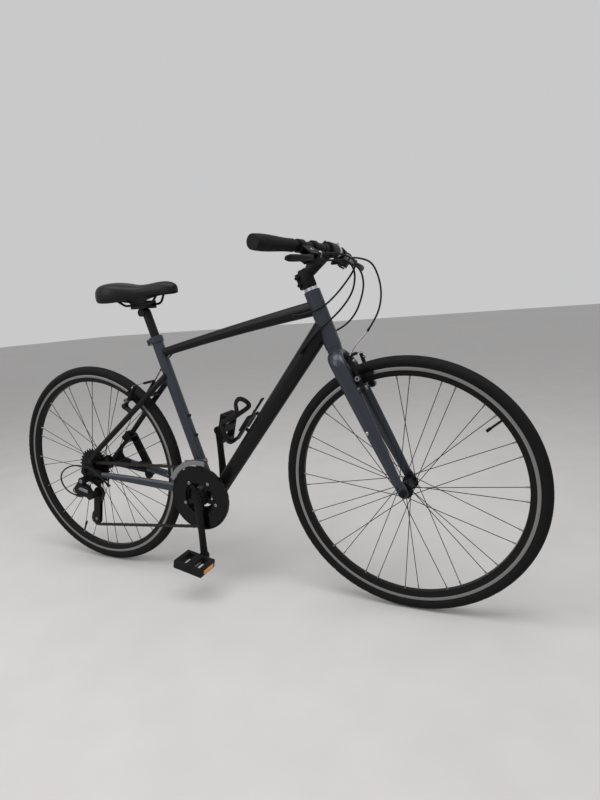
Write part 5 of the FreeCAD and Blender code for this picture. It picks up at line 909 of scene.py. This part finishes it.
CAGE_HOOK = [(192, 39, 0), (172, 42, 0), (161, 50, 0), (160, 60, 0)]
HOOK_HALVES = (9, 2.2)
CAGE_SHARP_ANGLE = 30
CAGE_BOLT_PLACES = (234, 298)
CAGE_BOLT_LIFT = 41
CAGE_BOLT = (4.6, 2.2)


def on_down_tube(along, lift, side=0.0):
    return DOWN_START + DOWN_WAY * along + DOWN_LIFT * lift + Y * side


def off_bottle(point):
    """The way out from the bottle's middle line."""
    offset = point - on_down_tube(0, BOTTLE_LIFT)
    return (offset - DOWN_WAY * offset.dot(DOWN_WAY)).normalized()


def cage_strip(route, halves):
    path = smooth_route([on_down_tube(*point) for point in route])
    lifts = [off_bottle(point) for point in path]
    return sweep(path, lifts, [halves] * len(path), BAND_CORNER_SHARES)


def cage_shape():
    ways = (DOWN_WAY, Y, DOWN_LIFT)
    shapes = [cage_strip([(along, lift, -across) for along, lift, across in BAND_ROUTE], BAND_HALVES)]
    for start, finish, width in CAGE_PLATES:
        centre = on_down_tube((start + finish) / 2, PLATE_LIFT)
        shapes.append(block(centre, ways, (finish - start, width, PLATE_THICKNESS), PLATE_EDGE))
    for side in SIDES.values():
        centre = on_down_tube(CAGE_RAIL_PLACE, PLATE_LIFT, side * CAGE_RAIL_SIDE)
        shapes.append(block(centre, ways, CAGE_RAIL_SIZES, PLATE_EDGE))
    shapes.append(cage_strip(CAGE_HOOK, HOOK_HALVES))
    return joined(*shapes)


add_piece(
    "bottle_cage_bands",
    cage_shape(),
    "black_plastic",
    "frame",
    ["bottle_cage"],
    CAGE_SHARP_ANGLE,
)
bolt_places = [on_down_tube(place, CAGE_BOLT_LIFT) for place in CAGE_BOLT_PLACES]
cage_bolts = [socket_bolt(place, DOWN_LIFT, *CAGE_BOLT) for place in bolt_places]
add_piece("bottle_cage_bolts", joined(*cage_bolts), "dull_alloy", "frame")

# Brakes: pad nuts and cable bolts on the arms, pivot bolts on the carriers
BRAKES = {
    # carrier, middle between the arms' pivots, the arms' lean, and which way they face
    "front": ("fork", Vector((439.23, 0, 609.59)), 19.185, 1),
    "rear": ("frame", Vector((-349.28, 0, 558.15)), -40.34, -1),
}
PIVOT_SIDE = 41
PIVOT_FACE = 9.3
PIVOT_BOLT = (6.4, 1.6)
ARM_LENGTH = 86
ARM_SPLAY = 4
PAD_PLACE = 28.7
PAD_NUT = (6.9, 7.2)
PAD_NUT_FOOT = 9
PAD_NUT_BACK = 2
NUT_SOCKET_SHARE = 0.5
NUT_FLOOR_SHARE = 0.3
NUT_CORNERS = 6
CABLE_BOLT_PLACE = 74
CABLE_BOLT_FACE = 5
CABLE_BOLT = (4.4, 3)


def on_arm(foot, up, side, along):
    return foot + up * along + Y * (side * (PIVOT_SIDE + ARM_SPLAY * along / ARM_LENGTH))


def hex_nut(centre, way, radius, height):
    """A hexagon head with a socket."""
    hole = radius * NUT_SOCKET_SHARE
    depth = height * NUT_FLOOR_SHARE
    profile = [(radius, -PAD_NUT_BACK), (radius, height), (hole, height), (hole, depth), (TIP_RADIUS, depth)]
    return lathe(profile, centre, way, NUT_CORNERS)


for end, (carrier, foot, lean, facing) in BRAKES.items():
    up, fore = leaning(lean)
    out = fore * facing
    pivot_bolts = []
    for name, side in SIDES.items():
        pad = on_arm(foot, up, side, PAD_PLACE)
        nut = hex_nut(pad + Y * (side * PAD_NUT_FOOT), Y * side, *PAD_NUT)
        cable_end = on_arm(foot, up, side, CABLE_BOLT_PLACE) + out * CABLE_BOLT_FACE
        arm_bolts = joined(nut, socket_bolt(cable_end, out, *CABLE_BOLT))
        add_piece(f"{end}_pad_nut_{name}", arm_bolts, "dull_alloy", f"{end}_brake_arm_{name}")
        pivot_bolts.append(socket_bolt(on_arm(foot, up, side, 0) + out * PIVOT_FACE, out, *PIVOT_BOLT))
    add_piece(f"{end}_brake_pivot_bolts", joined(*pivot_bolts), "dull_alloy", carrier)

# Drive: bolts on the guard, the derailleur's body with its link plate and bolts, and the fork eyelet's bolt
GUARD_BOLTS = 5
GUARD_BOLT_ANGLE = 54
GUARD_BOLT_CIRCLE = 57
GUARD_FACE = -64.5
GUARD_BOLT = (5.2, 1.6)
BODY_CORNERS = [(-562, 287), (-540, 307), (-512, 296), (-500, 272), (-528, 262)]
BODY_INNER = -78
BODY_OUTER = -95
PLATE_START = Vector((-553, BODY_OUTER, 291))
PLATE_FINISH = Vector((-509, BODY_OUTER, 279))
LINK_PLATE_WIDTH = 13
LINK_PLATE_THICKNESS = 3
LINK_PLATE_EDGE = 1.2
DERAILLEUR_BOLTS = [
    # place, radius, height: at the hanger, the lower pulley and the link's end
    (Vector((-530, -97.5, 316)), 6.5, 2.2),
    (Vector((-522, -63.3, 172)), 5, 1.8),
    (Vector((-566, -97.5, 281)), 4.5, 1.8),
]
FORK_EYELET = Vector((447, -56, 496))
EYELET_BOLT = (4.6, 3)


def guard_bolt_shape(n):
    place = radial(360 * n / GUARD_BOLTS + GUARD_BOLT_ANGLE) * GUARD_BOLT_CIRCLE
    return socket_bolt(BRACKET + place + Y * GUARD_FACE, -Y, *GUARD_BOLT)


def derailleur_body_shape():
    """The derailleur's knuckle: its outline between two depths."""
    points = [Vector((x, depth, z)) for depth in (BODY_INNER, BODY_OUTER) for x, z in BODY_CORNERS]
    count = len(BODY_CORNERS)
    faces = [tuple(range(count)), tuple(range(count, 2 * count))[::-1]]
    faces += [(n, n + count, (n + 1) % count + count, (n + 1) % count) for n in range(count)]
    return points, faces


def link_plate_shape():
    span = PLATE_FINISH - PLATE_START
    way = span.normalized()
    sizes = (span.length, LINK_PLATE_WIDTH, LINK_PLATE_THICKNESS)
    return block((PLATE_START + PLATE_FINISH) / 2, (way, way.cross(Y), Y), sizes, LINK_PLATE_EDGE)


guard_bolts = [guard_bolt_shape(n) for n in range(GUARD_BOLTS)]
derailleur_bolts = [socket_bolt(place, -Y, *sizes) for place, *sizes in DERAILLEUR_BOLTS]
add_piece("chainring_bolts", joined(*guard_bolts), "dull_alloy", "crank")
add_piece("derailleur_body", derailleur_body_shape(), "black_plastic", "frame")
add_piece("derailleur_link_plate", link_plate_shape(), "dull_alloy", "frame")
add_piece("derailleur_bolts", joined(*derailleur_bolts), "dull_alloy", "frame")
add_piece("fork_eyelet_bolt", socket_bolt(FORK_EYELET, -Y, *EYELET_BOLT), "alloy", "fork")

# Pedals: amber reflectors and bright sleeves round their axles
CRANK_LENGTH = 175
CRANK_LEAN = 2
PEDAL_SIDE = 134.5
PEDAL_LEANS = {"right": -12, "left": 75}
PEDAL_FACE = 49.7
PEDAL_LENSES = {"right": (-1, 1), "left": (-1,)}
LENS_SIZES = (3.2, 46.4, 11.4)
LENS_EDGE = 0.8
SLEEVE_RADII = (10.6, 11.5)
SLEEVE_REACH = (-22, 22)
SLEEVE_STEPS = 32


def lens_shape(centre, lean, ends):
    """The reflectors on the named ends of a pedal."""
    up, fore = leaning(lean)
    places = [centre + fore * (end * PEDAL_FACE) for end in ends]
    return joined(*[block(place, (fore, Y, up), LENS_SIZES, LENS_EDGE) for place in places])


for name, side in SIDES.items():
    pedal = f"pedal_{name}"
    centre = BRACKET + leaning(CRANK_LEAN)[0] * (side * CRANK_LENGTH) + Y * (side * PEDAL_SIDE)
    lenses = lens_shape(centre, PEDAL_LEANS[name], PEDAL_LENSES[name])
    sleeve = band(SLEEVE_RADII, SLEEVE_REACH, centre, Y, SLEEVE_STEPS)
    add_piece(f"pedal_reflectors_{name}", lenses, "amber", pedal)
    add_piece(f"pedal_sleeve_{name}", sleeve, "dull_alloy", pedal)

# Camera: its place in metres, then how it turns, tilts and rolls in degrees, and its lens
CAMERA_PLACE = Vector((0.81707, -1.25600, 0.81301))
CAMERA_TURN = 24.5691
CAMERA_TILT = -9.9047
CAMERA_ROLL = -4.4493
LEVEL_TILT = 90
SENSOR_WIDTH = 36
LENS_LENGTH = 22.797
camera_data = bpy.data.cameras.new("camera")
camera_data.sensor_width = SENSOR_WIDTH
camera_data.lens = LENS_LENGTH
camera = bpy.data.objects.new("camera", camera_data)
bpy.context.scene.collection.objects.link(camera)
camera_turn = Matrix.Rotation(math.radians(CAMERA_TURN), 4, "Z")
camera_tilt = Matrix.Rotation(math.radians(LEVEL_TILT + CAMERA_TILT), 4, "X")
camera_roll = Matrix.Rotation(math.radians(CAMERA_ROLL), 4, "Z")
camera.matrix_world = Matrix.Translation(CAMERA_PLACE) @ camera_turn @ camera_tilt @ camera_roll
bpy.context.scene.camera = camera

# Stage, in metres and watts: a pale floor and soft studio light
FLOOR_HALF = 30
FLOOR_ROUGHNESS = 0.7
FLOOR_GRAIN = 6
LIGHTS = {
    # place, aim, sizes, power
    "overhead": ((0.2, -0.6, 2.6), (0.0, 0.0, 0.5), (3.2, 1.2), 55),
    "right_rear": ((-1.6, -2.4, 1.9), (0.0, 0.0, 0.6), (1.6, 1.6), 22),
}
SKY_COLOUR = (0.78, 0.78, 0.79, 1)
SKY_STRENGTH = 0.75
floor_mesh = bpy.data.meshes.new("floor")
floor_corners = [(x * FLOOR_HALF, y * FLOOR_HALF, 0) for x, y in ((-1, -1), (1, -1), (1, 1), (-1, 1))]
floor_mesh.from_pydata(floor_corners, [], [(0, 1, 2, 3)])
floor = bpy.data.objects.new("floor", floor_mesh)
floor_mesh.materials.append(make_look("floor", FLOOR_TONES, FLOOR_ROUGHNESS, grain=FLOOR_GRAIN))
bpy.context.scene.collection.objects.link(floor)


def soft_light(name, place, aim, sizes, power):
    data = bpy.data.lights.new(name, "AREA")
    data.shape = "RECTANGLE"
    data.size, data.size_y = sizes
    data.energy = power
    lamp = bpy.data.objects.new(name, data)
    lamp.location = place
    lamp.rotation_mode = "QUATERNION"
    lamp.rotation_quaternion = (Vector(aim) - Vector(place)).to_track_quat("-Z", "Y")
    bpy.context.scene.collection.objects.link(lamp)


for name, values in LIGHTS.items():
    soft_light(name, *values)
world = bpy.data.worlds.new("studio")
bpy.context.scene.world = world
world.use_nodes = True
world.node_tree.nodes["Background"].inputs["Color"].default_value = SKY_COLOUR
world.node_tree.nodes["Background"].inputs["Strength"].default_value = SKY_STRENGTH
bpy.context.scene.view_settings.view_transform = "Standard"
